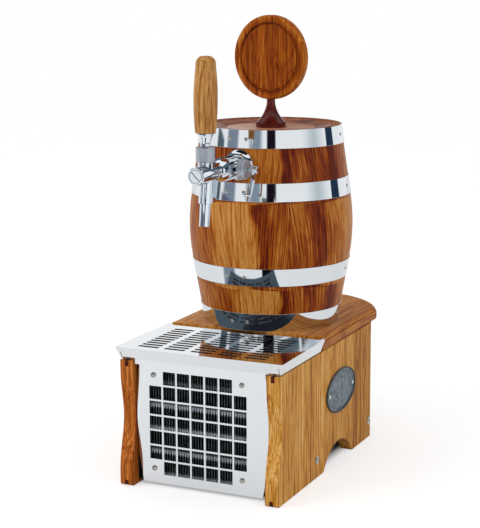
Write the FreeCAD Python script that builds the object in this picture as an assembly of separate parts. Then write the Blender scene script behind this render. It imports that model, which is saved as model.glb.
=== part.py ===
import FreeCAD, Part
import math
import os

# Mini keg beer dispenser: an oak base with a refrigeration unit, a coopered barrel that holds the
# keg, and a compensator tap. Millimetres, +Z up, +X to the right, +Y to the rear.
# The origin is on the floor, under the middle of the whole object.
V = FreeCAD.Vector
X_AXIS = V(1, 0, 0)
Y_AXIS = V(0, 1, 0)
Z_AXIS = V(0, 0, 1)

# ---------------------------------------------------------------- driving dimensions
# Every place from front to rear is measured back from the toes of the side panels.
TOE_Y = -251.5

# The base is as wide as the barrel's belly, and its margins leave a square for the grille
BARREL_BELLY_RADIUS = 132.5
BASE_WIDTH = 2 * BARREL_BELLY_RADIUS
GRILLE_MARGIN = 49.305
GRID_SIZE = BASE_WIDTH - 2 * GRILLE_MARGIN
GRILLE_CELLS = 7
GRILLE_PITCH = GRID_SIZE / GRILLE_CELLS
GRILLE_WEB = 2.9

# Base carcass
PANEL_THICKNESS = 21.0
PANEL_HEIGHT = GRID_SIZE + 31.61
PANEL_END = 372.0
TOE_HEIGHT = 20.0
SCOOP_DEPTH = 14.7
SCOOP_HEIGHT = PANEL_HEIGHT - 88.0
BROW_DEPTH = 6.3
BROW_HEIGHT = PANEL_HEIGHT - 13.0
FOOT_ROUNDING = 5.0
ARCH_BACK = 246.0
ARCH_RADIUS = 75.0
ARCH_DROP = 40.0
KEY_WIDTH = 6.0
KEY_INSET = 8.0
KEY_HEIGHT = 9.2
KEY_DEPTH = 14.0

# Curved rear wall and board
ARC_BACK = 355.0
WALL_ARC_RADIUS = BASE_WIDTH / 2 + 5.9
BOARD_THICKNESS = 23.4
BOARD_HALF_WIDTH = BASE_WIDTH / 2 + 1.7
BOARD_ARC_RADIUS = BOARD_HALF_WIDTH + 13.8
BOARD_FRONT = 175.9
BOARD_CAP = 8.0
BOARD_STEP = 1.4
BOARD_ROUND = 6.5
WALL_FLAT_BACK = ARC_BACK + WALL_ARC_RADIUS - 14.4

# Front plate with its grille
PLATE_BACK = 17.3
PLATE_THICKNESS = 1.5
PLATE_BOTTOM = 5.6
PLATE_TOP_GAP = 5.4
PLATE_SIDE_GAP = 0.4
PLATE_FOOT_INSET = 11.0
PLATE_BROW_INSET = 6.0
GRILLE_CENTRE_X = -7.2
GRILLE_CENTRE_Z = PANEL_HEIGHT / 2 + 2.5
PLATE_SCREW_SPACING = GRID_SIZE - GRILLE_PITCH + 5.38
SCREW_RADIUS = 2.0
SCREW_CLEARANCE = 0.2
SCREW_HEAD_RADIUS = 4.4
SCREW_HEAD_HEIGHT = 2.4

# Refrigeration unit
CHASSIS_BOTTOM = 8.0
SHEET = 1.5
CHASSIS_SIDE_GAP = 0.8
CHASSIS_FLANGE = 34.0
CHASSIS_REAR = 452.0
CHASSIS_CORNER = 60.0
CONDENSER_BACK = 24.0
FIN_DEPTH = 22.0
FIN_THICKNESS = 0.8
FIN_COUNT = 38
FIN_RAIL = 6.0
FIN_PACK_WIDTH = GRID_SIZE - 0.39
FIN_PACK_TOP = PANEL_HEIGHT - 11.0
TUBE_RADIUS = 4.0
TUBE_HOLE_GAP = 0.3
TUBE_PASSES = 4
TUBE_PITCH = GRILLE_PITCH * 1.54
TUBE_CENTRE_Z = GRILLE_CENTRE_Z + 7.4
TUBE_DEPTH = 9.0
TUBE_BEND = 10.0
TUBE_END = 8.0
SPACER_RADIUS = 5.0
SPACER_GAP = 1.0
SHROUD_DEPTH = 30.0
SHROUD_WALL = 1.2
FAN_RADIUS = FIN_PACK_WIDTH / 2 - 17.0
FAN_TIP_GAP = 4.0
FAN_HUB_RADIUS = 17.0
FAN_HUB_LENGTH = 14.0
FAN_ARM_GAP = 4.0
FAN_ROOT_CHORD = 24.0
FAN_TIP_CHORD = 42.0
FAN_BLADES = 5
FAN_SHAFT_RADIUS = 3.0
FAN_SHAFT_REACH = 14.0
MOTOR_RADIUS = 27.0
MOTOR_LENGTH = 32.0
RUNNING_GAP = 0.05
COMPRESSOR_RADIUS = BASE_WIDTH / 2 - 72.5
COMPRESSOR_HEIGHT = PANEL_HEIGHT - 70.0
DISCHARGE_STUB_HEIGHT = COMPRESSOR_HEIGHT * 0.3125
TERMINAL_HEIGHT = COMPRESSOR_HEIGHT * 0.390625
SUCTION_STUB_HEIGHT = COMPRESSOR_HEIGHT * 0.65625
COMPRESSOR_BACK = 318.0
MOUNT_HEIGHT = 16.0
MOUNT_SPACING = 118.0
LINE_RADIUS = 3.0
DRIER_BACK = 120.0
DRIER_RADIUS = 9.0
DRIER_LENGTH = 80.0

# Screws in the sides
SIDE_SCREW_FRONT = 153.0
SIDE_SCREW_REAR = 386.0
SIDE_SCREW_Z = 28.8
WASHER_RADIUS = 7.0
WASHER_THICKNESS = 1.2
SIDE_SCREW_HEAD_HEIGHT = 2.2

# Service panel at the rear
SERVICE_WIDTH = 104.0
SERVICE_HEIGHT = PANEL_HEIGHT - 48.0
SERVICE_CENTRE_Z = PANEL_HEIGHT / 2 + 3.0
SERVICE_THICKNESS = 1.5
SERVICE_SCREW_INSET = 6.0
WINDOW_MARGIN = 12.0
LOUVRE_COUNT = 6
LOUVRE_PITCH = 9.0
LOUVRE_LENGTH = 62.0
LOUVRE_HEIGHT = 3.0
THERMOSTAT_HALF_WIDTH = SERVICE_WIDTH / 4 - 12.0
THERMOSTAT_HALF_HEIGHT = SERVICE_HEIGHT * 0.12
THERMOSTAT_DEPTH = 24.0
KNOB_RADIUS = 14.0
KNOB_DEPTH = 13.0
ROCKER_WIDTH = 11.0
ROCKER_HEIGHT = 18.0
ROCKER_TILT = 9.0
ROCKER_PIN = 1.5
SWITCH_FRAME = 3.0
INLET_WIDTH = 28.0
INLET_HEIGHT = 21.0

# Badge on the right side
BADGE_BACK = 253.0
BADGE_Z = 118.0
BADGE_LENGTH = 125.0
BADGE_HEIGHT = 70.5
BADGE_THICKNESS = 1.6
BADGE_RIM = 2.6
BADGE_RIM_HEIGHT = 1.0
BADGE_RIVET_SPACING = 101.0
BADGE_RIVET_RADIUS = 3.2

# Drip tray
TRAY_FRONT = 1.9
TRAY_REAR = 175.5
TRAY_HALF_WIDTH = BASE_WIDTH / 2 + 4.3
TRAY_FLARE = 2.3
TRAY_TOP_STEP = 2.6
TRAY_SHEET = 1.0
APRON_BOTTOM_HALF_WIDTH = BASE_WIDTH / 2 - 0.2
APRON_BOTTOM_FRONT = 9.7
APRON_REAR_LEAN = 8.0
APRON_LIFT = 2.2
SEAM_WIDTH = 1.0
FLANGE_HALF_WIDTH = BASE_WIDTH / 2 - PANEL_THICKNESS - 2.7
FLANGE_DROP = 7.2
SLOT_COLUMNS = 5
SLOT_ROWS = 10
SLOT_PITCH_X = 44.6
SLOT_PITCH_Y = 13.3
SLOT_LENGTH = 34.5
SLOT_WIDTH = 7.6
SLOT_CENTRE_X = -2.0
SLOT_FRONT = 22.0
PAN_HALF_WIDTH = BASE_WIDTH / 2 - PANEL_THICKNESS - 3.5
PAN_FRONT = 19.8
PAN_REAR = 168.0
PAN_FLOOR_Z = PANEL_HEIGHT - 4.6
PAN_SHEET = 1.0
PAN_FLANGE = 22.0
PAN_LIP = 7.0
PAN_TAIL = 4.0
SEAT_GAP = 0.3

# Barrel
BARREL_BACK = 278.2
BARREL_HEIGHT = 318.4
BARREL_BOTTOM_RADIUS = BARREL_BELLY_RADIUS - 22.8
BARREL_TOP_RADIUS = BARREL_BELLY_RADIUS - 19.8
BELLY_HEIGHT = BARREL_HEIGHT * 0.4962
BELLY_BEND = 310.0
STAVE_THICKNESS = 15.0
STAVE_COUNT = 16
STAVE_PHASE = -8.8
STAVE_JOINT = 0.08
CHIME_RADIUS = BARREL_TOP_RADIUS - 6.7
DISH_RADIUS = CHIME_RADIUS - 34.0
DISH_DEPTH = 5.6
HOOP_THICKNESS = 1.2
HOOP_HEIGHT = 28.5
HOOP_2_HEIGHT = BARREL_HEIGHT * 0.6552
HOOP_3_HEIGHT = BARREL_HEIGHT * 0.2337
RIVET_RADIUS = 3.0
RIVET_HEIGHT = 1.3
RIVET_SPREAD = 6.7
RIVET_AZIMUTH = -2.5
SINGLE_RIVET_AZIMUTH = 95.0
SINGLE_RIVET_STEP = 85.0
FLOOR_HEIGHT = 4.0
FLOOR_THICKNESS = 13.0
WOOD_GAP = 0.3

# Lid with its foot and disc
LID_THICKNESS = 22.0
LID_FIT = 0.5
FOOT_RADIUS = 24.5
FOOT_RIM_HEIGHT = 8.0
FOOT_STEP = 2.2
FOOT_NECK_RADIUS = 6.8
FOOT_NECK_HEIGHT = 38.0
DOWEL_RADIUS = 4.0
DOWEL_LENGTH = 14.0
DISC_RADIUS = 66.8
DISC_THICKNESS = 15.0
DISC_LIFT = 44.0
DISC_TURN = -9.5
DISC_FIELD_RADIUS = 53.5
DISC_FIELD_DEPTH = 1.6
DISC_GROOVE = 2.2
DISC_GROOVE_DEPTH = 1.4
DISC_ROUND = 3.5

# Keg and what is around it
WELL_RADIUS = BARREL_BELLY_RADIUS - 46.5
WELL_SHEET = 1.2
WELL_FLANGE = 8.0
FOAM_GAP = 0.3
KEG_RADIUS = WELL_RADIUS - 2.0
KEG_WALL = 1.2
KEG_HEIGHT = BARREL_HEIGHT - 104.4
KEG_SHOULDER = 22.0
KEG_NECK_RADIUS = 20.0
KEG_NECK_HEIGHT = 9.0
KEG_MOUTH_RADIUS = 14.0
COUPLER_RADIUS = 24.0
COUPLER_HEIGHT = 30.0
DIP_TUBE_RADIUS = 4.0
OUTLET_REACH = 24.0
HOSE_RADIUS = 4.8
HOSE_BORE = 3.0
COIL_PASSES = 4
COIL_PITCH = 20.0
COIL_HEIGHT = 80.0
COIL_GAP_ANGLE = 22.0
COIL_TAIL = 44.0

# Tap. Places along it are measured back from a datum that stands clear of the barrel's belly.
TAP_REACH = 145.7
TAP_HEIGHT = HOOP_2_HEIGHT + 56.0
TAP_NOSE = 4.3
TAP_TAIL = 146.0
TAP_BODY_RADIUS = 13.6
CAP_RADIUS = 11.8
CAP_THICKNESS = 5.0
CAP_SLOT = 1.6
CAP_SLOT_ANGLE = 45.0
NECK_RADIUS = 12.4
CHAMBER_RADIUS = 18.4
FRONT_BORE = 8.6
SEAT_BORE = 6.0
CHAMBER_BORE = 12.5
SEAT_FRONT = 57.0
SEAT_REAR = 71.0
CHAMBER_REAR = 128.0
WAIST_FRONT = 54.0
WAIST_REAR = 70.0
CHAMBER_FRONT = 94.0
CHAMBER_SHOULDER = 124.0
SHANK_RADIUS = 8.0
SHANK_BORE = 4.0
SHANK_HOLE_GAP = 0.3
SHANK_END = 206.0
NUT_RADIUS = 14.0
NUT_LENGTH = 7.5
ROSETTE_RADIUS = 24.0
ROSETTE_DOME = 7.0
HANDLE_BACK = 38.0
PIVOT_RISE = 31.0
BALL_RADIUS = 8.5
BALL_GAP = 0.1
HOUSING_RADIUS = 11.2
HOUSING_TOP = 18.0
COLLAR_RADIUS = 14.4
COLLAR_HEIGHT = 22.0
COLLAR_LIP_RADIUS = 7.6
COLLAR_MOUTH_RADIUS = 13.2
LEVER_ARM_RADIUS = 2.4
LEVER_TIP_RADIUS = 3.5
STEM_RADIUS = 4.5
HANDLE_LEAN = -1.8
HANDLE_TRAVEL = 20.0
FERRULE_BOTTOM_RADIUS = 7.7
FERRULE_TOP_RADIUS = 12.2
FERRULE_RISE = 41.5
FERRULE_HEIGHT = 18.5
HANDLE_LENGTH = 113.0
HANDLE_BOTTOM_RADIUS = 15.2
HANDLE_BELLY_RADIUS = 17.9
HANDLE_BELLY_HEIGHT = 50.0
HANDLE_TOP_RADIUS = 15.0
HANDLE_CROWN_RADIUS = 8.0
HANDLE_DOME = 15.0
STUD_RADIUS = 4.0
STUD_LENGTH = 26.0
YOKE_HALF = 5.8
YOKE_LENGTH = 13.6
TIP_SLOT_GAP = 0.6
PISTON_RADIUS = 3.6
GUIDE_LENGTH = 6.0
SEAL_RADIUS = 9.0
SEAL_THICKNESS = 4.0
SPOUT_TILT = 8.6
SPOUT_BACK = 44.2
SPOUT_RADIUS = 11.0
SPOUT_TOP_DEPTH = 14.0
SPOUT_BOTTOM_DEPTH = 9.6
SPOUT_DROP = 43.0
NOZZLE_RADIUS = 8.4
NOZZLE_TIP_RADIUS = 8.1
NOZZLE_BORE = 6.0
NOZZLE_LENGTH = 35.0
NOZZLE_SEAT = 7.0
COMPENSATOR_BACK = 110.0
BOSS_RADIUS = 11.0
BOSS_REACH = 22.0
KNOB_NUT_RADIUS = 15.2
KNOB_NUT_LENGTH = 12.0
KNOB_RING_RADIUS = 12.6
KNOB_RING_LENGTH = 2.0
SPINDLE_RADIUS = 3.4
SPINDLE_INNER = 9.0
CRANK_THROW = 3.0
CRANK_RADIUS = 1.5
CRANK_PHASE = 30.0
CRANK_SLOT_GAP = 0.4
LEVER_BOSS_RADIUS = 5.6
LEVER_BOSS_START = 43.5
LEVER_BOSS_LENGTH = 8.5
LEVER_LENGTH = 41.0
LEVER_FORWARD = 28.0
LEVER_THICKNESS = 3.6
LEVER_TIP_HALF = 2.6
LEVER_PEG = 9.0
CONE_FRONT = 95.0
CONE_REAR = 123.0
CONE_FRONT_RADIUS = 6.5
CONE_REAR_RADIUS = 11.2

# ---------------------------------------------------------------- places worked out from the sizes
HALF_WIDTH = BASE_WIDTH / 2
INNER_HALF = HALF_WIDTH - PANEL_THICKNESS
BOARD_TOP = PANEL_HEIGHT + BOARD_THICKNESS
BARREL_Y = TOE_Y + BARREL_BACK
BARREL_TOP = BOARD_TOP + BARREL_HEIGHT
ARC_Y = TOE_Y + ARC_BACK
TRAY_TOP = BOARD_TOP - TRAY_TOP_STEP
TAP_Z = BOARD_TOP + TAP_HEIGHT
TAP_DATUM_Y = BARREL_Y - BARREL_BELLY_RADIUS - TAP_REACH
HANDLE_Y = TAP_DATUM_Y + HANDLE_BACK
PIVOT_Z = TAP_Z + PIVOT_RISE
COMPENSATOR_Y = TAP_DATUM_Y + COMPENSATOR_BACK
CHASSIS_TOP = CHASSIS_BOTTOM + SHEET
WELL_BOTTOM = BOARD_TOP + FLOOR_HEIGHT + FLOOR_THICKNESS + WOOD_GAP
DISH_Z = BARREL_TOP - DISH_DEPTH
LID_BOTTOM = DISH_Z - LID_THICKNESS
WELL_FLANGE_TOP = LID_BOTTOM - SEAT_GAP
DISC_Z = DISH_Z + DISC_LIFT + DISC_RADIUS


# ---------------------------------------------------------------- shape helpers
def back(distance):
    """Y of a place that lies a distance behind the toes."""
    return TOE_Y + distance


def tap(distance):
    """Y of a place on the tap, a distance behind its datum."""
    return TAP_DATUM_Y + distance


def line(point):
    """Straight step of an outline."""
    return ("line", point)


def arc(through, end):
    """Arc step of an outline."""
    return ("arc", through, end)


def dome(radius, low, top):
    """Arc step from a radius up to the axis, level where it meets the axis."""
    sphere = (radius ** 2 + (top - low) ** 2) / (2 * (top - low))
    half = math.asin(radius / sphere) / 2
    return arc((sphere * math.sin(half), top - sphere * (1 - math.cos(half))), (0, top))


def curve(points, tangent):
    """Smooth step through points, with the same tangent at each of them."""
    return ("curve", points, tangent)


def outline(place, start, steps):
    """Closed face; place maps an outline's two coordinates into space."""
    edges = []
    here = start
    for step in list(steps) + [line(start)]:
        end = step[1][-1] if step[0] == "curve" else step[-1]
        if step[0] == "arc":
            edges.append(Part.Arc(place(*here), place(*step[1]), place(*end)).toShape())
        elif step[0] == "curve":
            points = [place(*p) for p in [here] + step[1]]
            spline = Part.BSplineCurve()
            spline.interpolate(Points=points, Tangents=[step[2]] * len(points),
                               TangentFlags=[True] * len(points))
            edges.append(spline.toShape())
        elif place(*here).distanceToPoint(place(*end)) > 1e-6:
            edges.append(Part.LineSegment(place(*here), place(*end)).toShape())
        here = end
    return Part.Face(Part.Wire(edges))


def facing_front(y):
    """Places an (x, z) outline at a depth."""
    return lambda x, z: V(x, y, z)


def facing_side(x):
    """Places a (y, z) outline at a width."""
    return lambda y, z: V(x, y, z)


def facing_up(z):
    """Places an (x, y) outline at a height."""
    return lambda x, y: V(x, y, z)


def rod(radius, start, end):
    """Cylinder from one point to another."""
    return Part.makeCylinder(radius, (end - start).Length, start, end - start)


def box(low, high):
    """Box between two opposite corners."""
    size = high - low
    return Part.makeBox(size.x, size.y, size.z, low)


def tapered(bottom_radius, top_radius, start, end):
    """Cone frustum from one point to another."""
    return Part.makeCone(bottom_radius, top_radius, (end - start).Length, start, end - start)


def turned_upright(x, y, start, steps):
    """Solid turned about an upright axis from an outline of (radius, height)."""
    face = outline(lambda r, z: V(x + r, y, z), start, steps)
    return face.revolve(V(x, y, 0), Z_AXIS, 360)


def turned_forward(z, start, steps):
    """Solid turned about the tap's axis from an outline of (y, radius)."""
    face = outline(lambda y, r: V(0, y, z + r), start, steps)
    return face.revolve(V(0, 0, z), Y_AXIS, 360)


def joined(shapes):
    """One solid out of overlapping ones."""
    return shapes[0].multiFuse(shapes[1:]).removeSplitter()


def without(shape, tools):
    """Shape with the tools cut away."""
    return shape.cut(Part.makeCompound(tools))


def edges_along(shape, axis):
    """Edges of a box that run along an axis."""
    return [e for e in shape.Edges if abs(e.tangentAt(e.FirstParameter).dot(axis)) > 0.999]


def mirrored(shape):
    """Copy on the other side of the middle plane."""
    return shape.mirror(V(0, 0, 0), X_AXIS)


def bent_path(points, bend):
    """Straight runs joined by tangent arcs of one radius."""
    edges = []
    here = points[0]
    for i in range(1, len(points) - 1):
        into = (points[i] - points[i - 1]).normalize()
        out = (points[i + 1] - points[i]).normalize()
        turn = into.getAngle(out)
        trim = bend * math.tan(turn / 2)
        first = points[i] - into * trim
        last = points[i] + out * trim
        middle = points[i] + (out - into).normalize() * (bend / math.cos(turn / 2) - bend)
        edges.append(Part.LineSegment(here, first).toShape())
        edges.append(Part.Arc(first, middle, last).toShape())
        here = last
    edges.append(Part.LineSegment(here, points[-1]).toShape())
    return Part.Wire(edges)


def swept(path, radius):
    """Round solid along a path."""
    first = path.OrderedEdges[0]
    start = first.valueAt(first.FirstParameter)
    direction = first.tangentAt(first.FirstParameter)
    ring = Part.Wire(Part.makeCircle(radius, start, direction))
    return path.makePipeShell([ring], True, False)


def group(shapes):
    """Separate solids that share one node."""
    return Part.makeCompound(shapes)


def export(name, shape):
    """One node as its own STEP file."""
    shape.exportStep(os.path.join("parts", name + ".step"))


# ---------------------------------------------------------------- base carcass
def panel_side():
    """Side outline of a panel: scooped front edge, foot arch, square rear."""
    half_chord = math.sqrt(ARCH_RADIUS ** 2 - ARCH_DROP ** 2)
    arch_y = back(ARCH_BACK)
    corner = FOOT_ROUNDING * (1 - math.sqrt(0.5))
    steps = [
        line((arch_y - half_chord, 0)),
        arc((arch_y, ARCH_RADIUS - ARCH_DROP), (arch_y + half_chord, 0)),
        line((back(PANEL_END), 0)),
        line((back(PANEL_END), PANEL_HEIGHT)),
        line((back(BROW_DEPTH), PANEL_HEIGHT)),
        line((back(BROW_DEPTH), BROW_HEIGHT)),
        curve([(back(SCOOP_DEPTH), SCOOP_HEIGHT), (back(0), TOE_HEIGHT)], V(0, 0, -1)),
        line((back(0), FOOT_ROUNDING)),
        arc((back(corner), corner), (back(FOOT_ROUNDING), 0)),
    ]
    return outline(facing_side(INNER_HALF), (back(FOOT_ROUNDING), 0), steps)


def key_box(low_z, front, gap):
    """Place of one hardwood key in the right panel's front edge."""
    right = HALF_WIDTH - KEY_INSET + gap
    left = HALF_WIDTH - KEY_INSET - KEY_WIDTH - gap
    return box(V(left, front, low_z), V(right, front + KEY_DEPTH + gap, low_z + KEY_HEIGHT))


def right_keys(gap):
    """Upper and lower key of the right panel; a gap gives the notch."""
    lower = key_box(0, back(0), gap)
    upper = key_box(PANEL_HEIGHT - KEY_HEIGHT, back(BROW_DEPTH), gap)
    rounding = box(V(0, back(0) - 1, -1), V(HALF_WIDTH, back(KEY_DEPTH), KEY_HEIGHT * 2))
    toe = panel_side().extrude(V(PANEL_THICKNESS, 0, 0)).common(rounding)
    return [lower.common(toe) if gap == 0 else lower, upper]


def side_screw_places():
    """Distances back from the toes of the screws in the panel and in the rear wall."""
    return (SIDE_SCREW_FRONT, SIDE_SCREW_REAR)


def side_screw_hole(distance):
    """Clearance hole through the right side."""
    start = V(INNER_HALF - SHEET * 2, back(distance), SIDE_SCREW_Z)
    return rod(SCREW_RADIUS + SCREW_CLEARANCE, start, start + X_AXIS * (PANEL_THICKNESS + SHEET * 3))


def right_panel():
    """Right side panel with key notches and its screw hole."""
    body = panel_side().extrude(V(PANEL_THICKNESS, 0, 0))
    return without(body, right_keys(0.02) + [side_screw_hole(SIDE_SCREW_FRONT)])


def wall_ring(radius, side):
    """Rear part of the carcass plan: straight sides that end in an arc."""
    meeting = ARC_Y + math.sqrt(radius ** 2 - side ** 2)
    steps = [
        line((side, meeting)),
        arc((0, ARC_Y + radius), (-side, meeting)),
        line((-side, back(PANEL_END))),
    ]
    return outline(facing_up(0), (side, back(PANEL_END)), steps)


def rear_wall():
    """Curved wall with a flat landing and a window for the service panel."""
    outer = wall_ring(WALL_ARC_RADIUS, HALF_WIDTH).extrude(V(0, 0, PANEL_HEIGHT))
    inner = wall_ring(WALL_ARC_RADIUS - PANEL_THICKNESS, INNER_HALF).extrude(V(0, 0, PANEL_HEIGHT))
    landing_y = back(WALL_FLAT_BACK)
    low = SERVICE_CENTRE_Z - SERVICE_HEIGHT / 2
    high = SERVICE_CENTRE_Z + SERVICE_HEIGHT / 2
    landing = box(V(-HALF_WIDTH, landing_y, low), V(HALF_WIDTH, landing_y + PANEL_THICKNESS * 3, high))
    half = SERVICE_WIDTH / 2 - WINDOW_MARGIN
    window = box(V(-half, back(PANEL_END), low + WINDOW_MARGIN),
                 V(half, landing_y + 1, high - WINDOW_MARGIN))
    hole = side_screw_hole(SIDE_SCREW_REAR)
    wall = without(outer, [inner, landing, window, hole, mirrored(hole)] + service_holes())
    feet = [e for e in wall.Edges if abs(e.CenterOfMass.z) < 0.01]
    outside = [e for e in feet if e.Length > BASE_WIDTH and e.CenterOfMass.y > back(PANEL_END) + 1]
    return wall.makeFillet(FOOT_ROUNDING / 2, outside[:1])


def board_plan(inset, z):
    """Plan of the top board at one height."""
    side = BOARD_HALF_WIDTH - inset
    radius = BOARD_ARC_RADIUS - inset
    meeting = ARC_Y + math.sqrt(radius ** 2 - side ** 2)
    steps = [
        line((side, meeting)),
        arc((0, ARC_Y + radius), (-side, meeting)),
        line((-side, back(BOARD_FRONT))),
    ]
    return outline(facing_up(z), (side, back(BOARD_FRONT)), steps)


def rim_edges(shape, z):
    """Long edges at one height, without the one along the front."""
    found = []
    for edge in shape.Edges:
        flat = abs(edge.BoundBox.ZMax - z) < 0.01 and abs(edge.BoundBox.ZMin - z) < 0.01
        if flat and edge.BoundBox.YMax > back(BOARD_FRONT) + 1:
            found.append(edge)
    return found


def top_board():
    """Board with a rounded lower part, a small step and a rounded cap."""
    seam = BOARD_TOP - BOARD_CAP
    lower = board_plan(0, PANEL_HEIGHT).extrude(V(0, 0, BOARD_THICKNESS - BOARD_CAP))
    lower = lower.makeFillet(BOARD_ROUND, rim_edges(lower, PANEL_HEIGHT))
    cap = board_plan(BOARD_STEP, seam).extrude(V(0, 0, BOARD_CAP))
    cap = cap.makeFillet(BOARD_ROUND, rim_edges(cap, BOARD_TOP))
    return without(lower.fuse(cap), coil_tail_holes())


# ---------------------------------------------------------------- front plate
def plate_side():
    """Plate outline: barrel-shaped sides that touch the panels at mid height."""
    touch = INNER_HALF - PLATE_SIDE_GAP
    foot = INNER_HALF - PLATE_FOOT_INSET
    brow = INNER_HALF - PLATE_BROW_INSET
    top = PANEL_HEIGHT - PLATE_TOP_GAP
    steps = [
        line((foot, PLATE_BOTTOM)),
        arc((touch, SCOOP_HEIGHT), (brow, top)),
        line((-brow, top)),
        arc((-touch, SCOOP_HEIGHT), (-foot, PLATE_BOTTOM)),
    ]
    return outline(facing_front(back(PLATE_BACK)), (-foot, PLATE_BOTTOM), steps)


def plate_screw_places():
    """Centres of the four plate screws."""
    half = PLATE_SCREW_SPACING / 2
    y = back(PLATE_BACK)
    return [V(GRILLE_CENTRE_X + i * half, y,
              GRILLE_CENTRE_Z + 1.1 + j * half) for i in (-1, 1) for j in (-1, 1)]


def grille_holes():
    """Square holes in seven rows; the four corner places are left for the screws."""
    holes = []
    middle = (GRILLE_CELLS - 1) / 2
    half = (GRILLE_PITCH - GRILLE_WEB) / 2
    y = back(PLATE_BACK)
    for column in range(GRILLE_CELLS):
        for row in range(GRILLE_CELLS):
            if abs(column - middle) == middle and abs(row - middle) == middle:
                continue
            x = GRILLE_CENTRE_X + (column - middle) * GRILLE_PITCH
            z = GRILLE_CENTRE_Z + (row - middle) * GRILLE_PITCH
            holes.append(box(V(x - half, y - 1, z - half), V(x + half, y + PLATE_THICKNESS + 1, z + half)))
    return holes


def front_plate():
    """Polished plate with the grille and four screw holes."""
    sheet = plate_side().extrude(V(0, PLATE_THICKNESS, 0))
    holes = []
    for place in plate_screw_places():
        holes.append(rod(SCREW_RADIUS + SCREW_CLEARANCE, place - Y_AXIS,
                         place + Y_AXIS * (PLATE_THICKNESS + 1)))
    return without(sheet, grille_holes() + holes)


def pan_head_screw(place, inward, length, head_height):
    """Screw with a domed head; place is under the head on the surface."""
    shaft = rod(SCREW_RADIUS, place, place + inward * length)
    out = inward * -1
    rim = rod(SCREW_HEAD_RADIUS, place, place + out * (head_height / 2))
    dome = tapered(SCREW_HEAD_RADIUS, SCREW_HEAD_RADIUS * 0.6, place + out * (head_height / 2),
                   place + out * head_height)
    return joined([shaft, rim, dome])


def plate_screws():
    """Four screws of the front plate."""
    return group([pan_head_screw(p, Y_AXIS, PLATE_THICKNESS + 8,
                                 SCREW_HEAD_HEIGHT) for p in plate_screw_places()])


# ---------------------------------------------------------------- refrigeration unit
def chassis_pan():
    """Sheet floor with turned-up sides that take the side screws."""
    half = INNER_HALF - CHASSIS_SIDE_GAP
    front = back(PLATE_BACK + PLATE_THICKNESS + SEAT_GAP)
    rear_radius = WALL_ARC_RADIUS - PANEL_THICKNESS - CHASSIS_SIDE_GAP
    meeting = ARC_Y + math.sqrt(rear_radius ** 2 - half ** 2)
    floor = outline(facing_up(CHASSIS_BOTTOM), (half, front), [
        line((half, meeting)),
        line((half - CHASSIS_CORNER, back(CHASSIS_REAR))),
        line((CHASSIS_CORNER - half, back(CHASSIS_REAR))),
        line((-half, meeting)),
        line((-half, front)),
    ]).extrude(V(0, 0, SHEET))
    flange = box(V(half - SHEET, front, CHASSIS_BOTTOM), V(half, meeting, CHASSIS_BOTTOM + CHASSIS_FLANGE))
    pan = joined([floor, flange, mirrored(flange)])
    holes = []
    for distance in side_screw_places():
        hole = side_screw_hole(distance)
        holes += [hole, mirrored(hole)]
    return without(pan, holes)


def side_screws():
    """Two screws with washers on each side."""
    pieces = []
    for distance in side_screw_places():
        face = V(HALF_WIDTH, back(distance), SIDE_SCREW_Z)
        washer = rod(WASHER_RADIUS, face, face + X_AXIS * WASHER_THICKNESS)
        washer = washer.cut(rod(SCREW_RADIUS, face - X_AXIS, face + X_AXIS * 3))
        screw = pan_head_screw(face + X_AXIS * WASHER_THICKNESS, X_AXIS * -1,
                               PANEL_THICKNESS + WASHER_THICKNESS + SHEET + 3, SIDE_SCREW_HEAD_HEIGHT)
        pieces += [washer, screw, mirrored(washer), mirrored(screw)]
    return group(pieces)


def tube_heights():
    """Heights of the condenser's tube passes, from the top down."""
    middle = (TUBE_PASSES - 1) / 2
    return [TUBE_CENTRE_Z + (middle - i) * TUBE_PITCH for i in range(TUBE_PASSES)]


def tube_end_x():
    """Where both ends of the condenser tube stop, on the right of the fins."""
    return GRILLE_CENTRE_X + FIN_PACK_WIDTH / 2 + TUBE_END


def condenser_tubes():
    """One tube that runs to and fro through the fins, with both ends on the right."""
    y = back(CONDENSER_BACK + TUBE_DEPTH)
    reach = FIN_PACK_WIDTH / 2 + TUBE_BEND
    points = [V(tube_end_x(), y, tube_heights()[0])]
    side = -1
    for z in tube_heights():
        if z < tube_heights()[0]:
            points.append(V(GRILLE_CENTRE_X - side * reach, y, z))
        points.append(V(GRILLE_CENTRE_X + side * reach, y, z))
        side = -side
    points[-1] = V(tube_end_x(), y, tube_heights()[-1])
    return swept(bent_path(points, TUBE_BEND), TUBE_RADIUS)


def condenser_fins():
    """Upright fins between two rails and two end plates, pierced for the tubes and spacers."""
    front = back(CONDENSER_BACK)
    rear = front + FIN_DEPTH
    left = GRILLE_CENTRE_X - FIN_PACK_WIDTH / 2
    right = GRILLE_CENTRE_X + FIN_PACK_WIDTH / 2
    pitch = (FIN_PACK_WIDTH - FIN_THICKNESS) / (FIN_COUNT - 1)
    block = box(V(left, front, CHASSIS_TOP), V(right, rear, FIN_PACK_TOP))
    tools = []
    for i in range(FIN_COUNT - 1):
        x = left + i * pitch + FIN_THICKNESS
        tools.append(box(V(x, front - 1, CHASSIS_TOP + FIN_RAIL),
                         V(x + pitch - FIN_THICKNESS, rear + 1, FIN_PACK_TOP - FIN_RAIL)))
    y = front + TUBE_DEPTH
    half = TUBE_RADIUS + TUBE_HOLE_GAP
    for z in tube_heights():
        tools.append(box(V(left - 1, y - half, z - half), V(right + 1, y + half, z + half)))
    reach = SPACER_RADIUS + SPACER_GAP
    for place in plate_screw_places():
        tools.append(box(V(place.x - reach, front - 1, place.z - reach),
                         V(place.x + reach, rear + 1, place.z + reach)))
    return without(block, tools)


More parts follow.
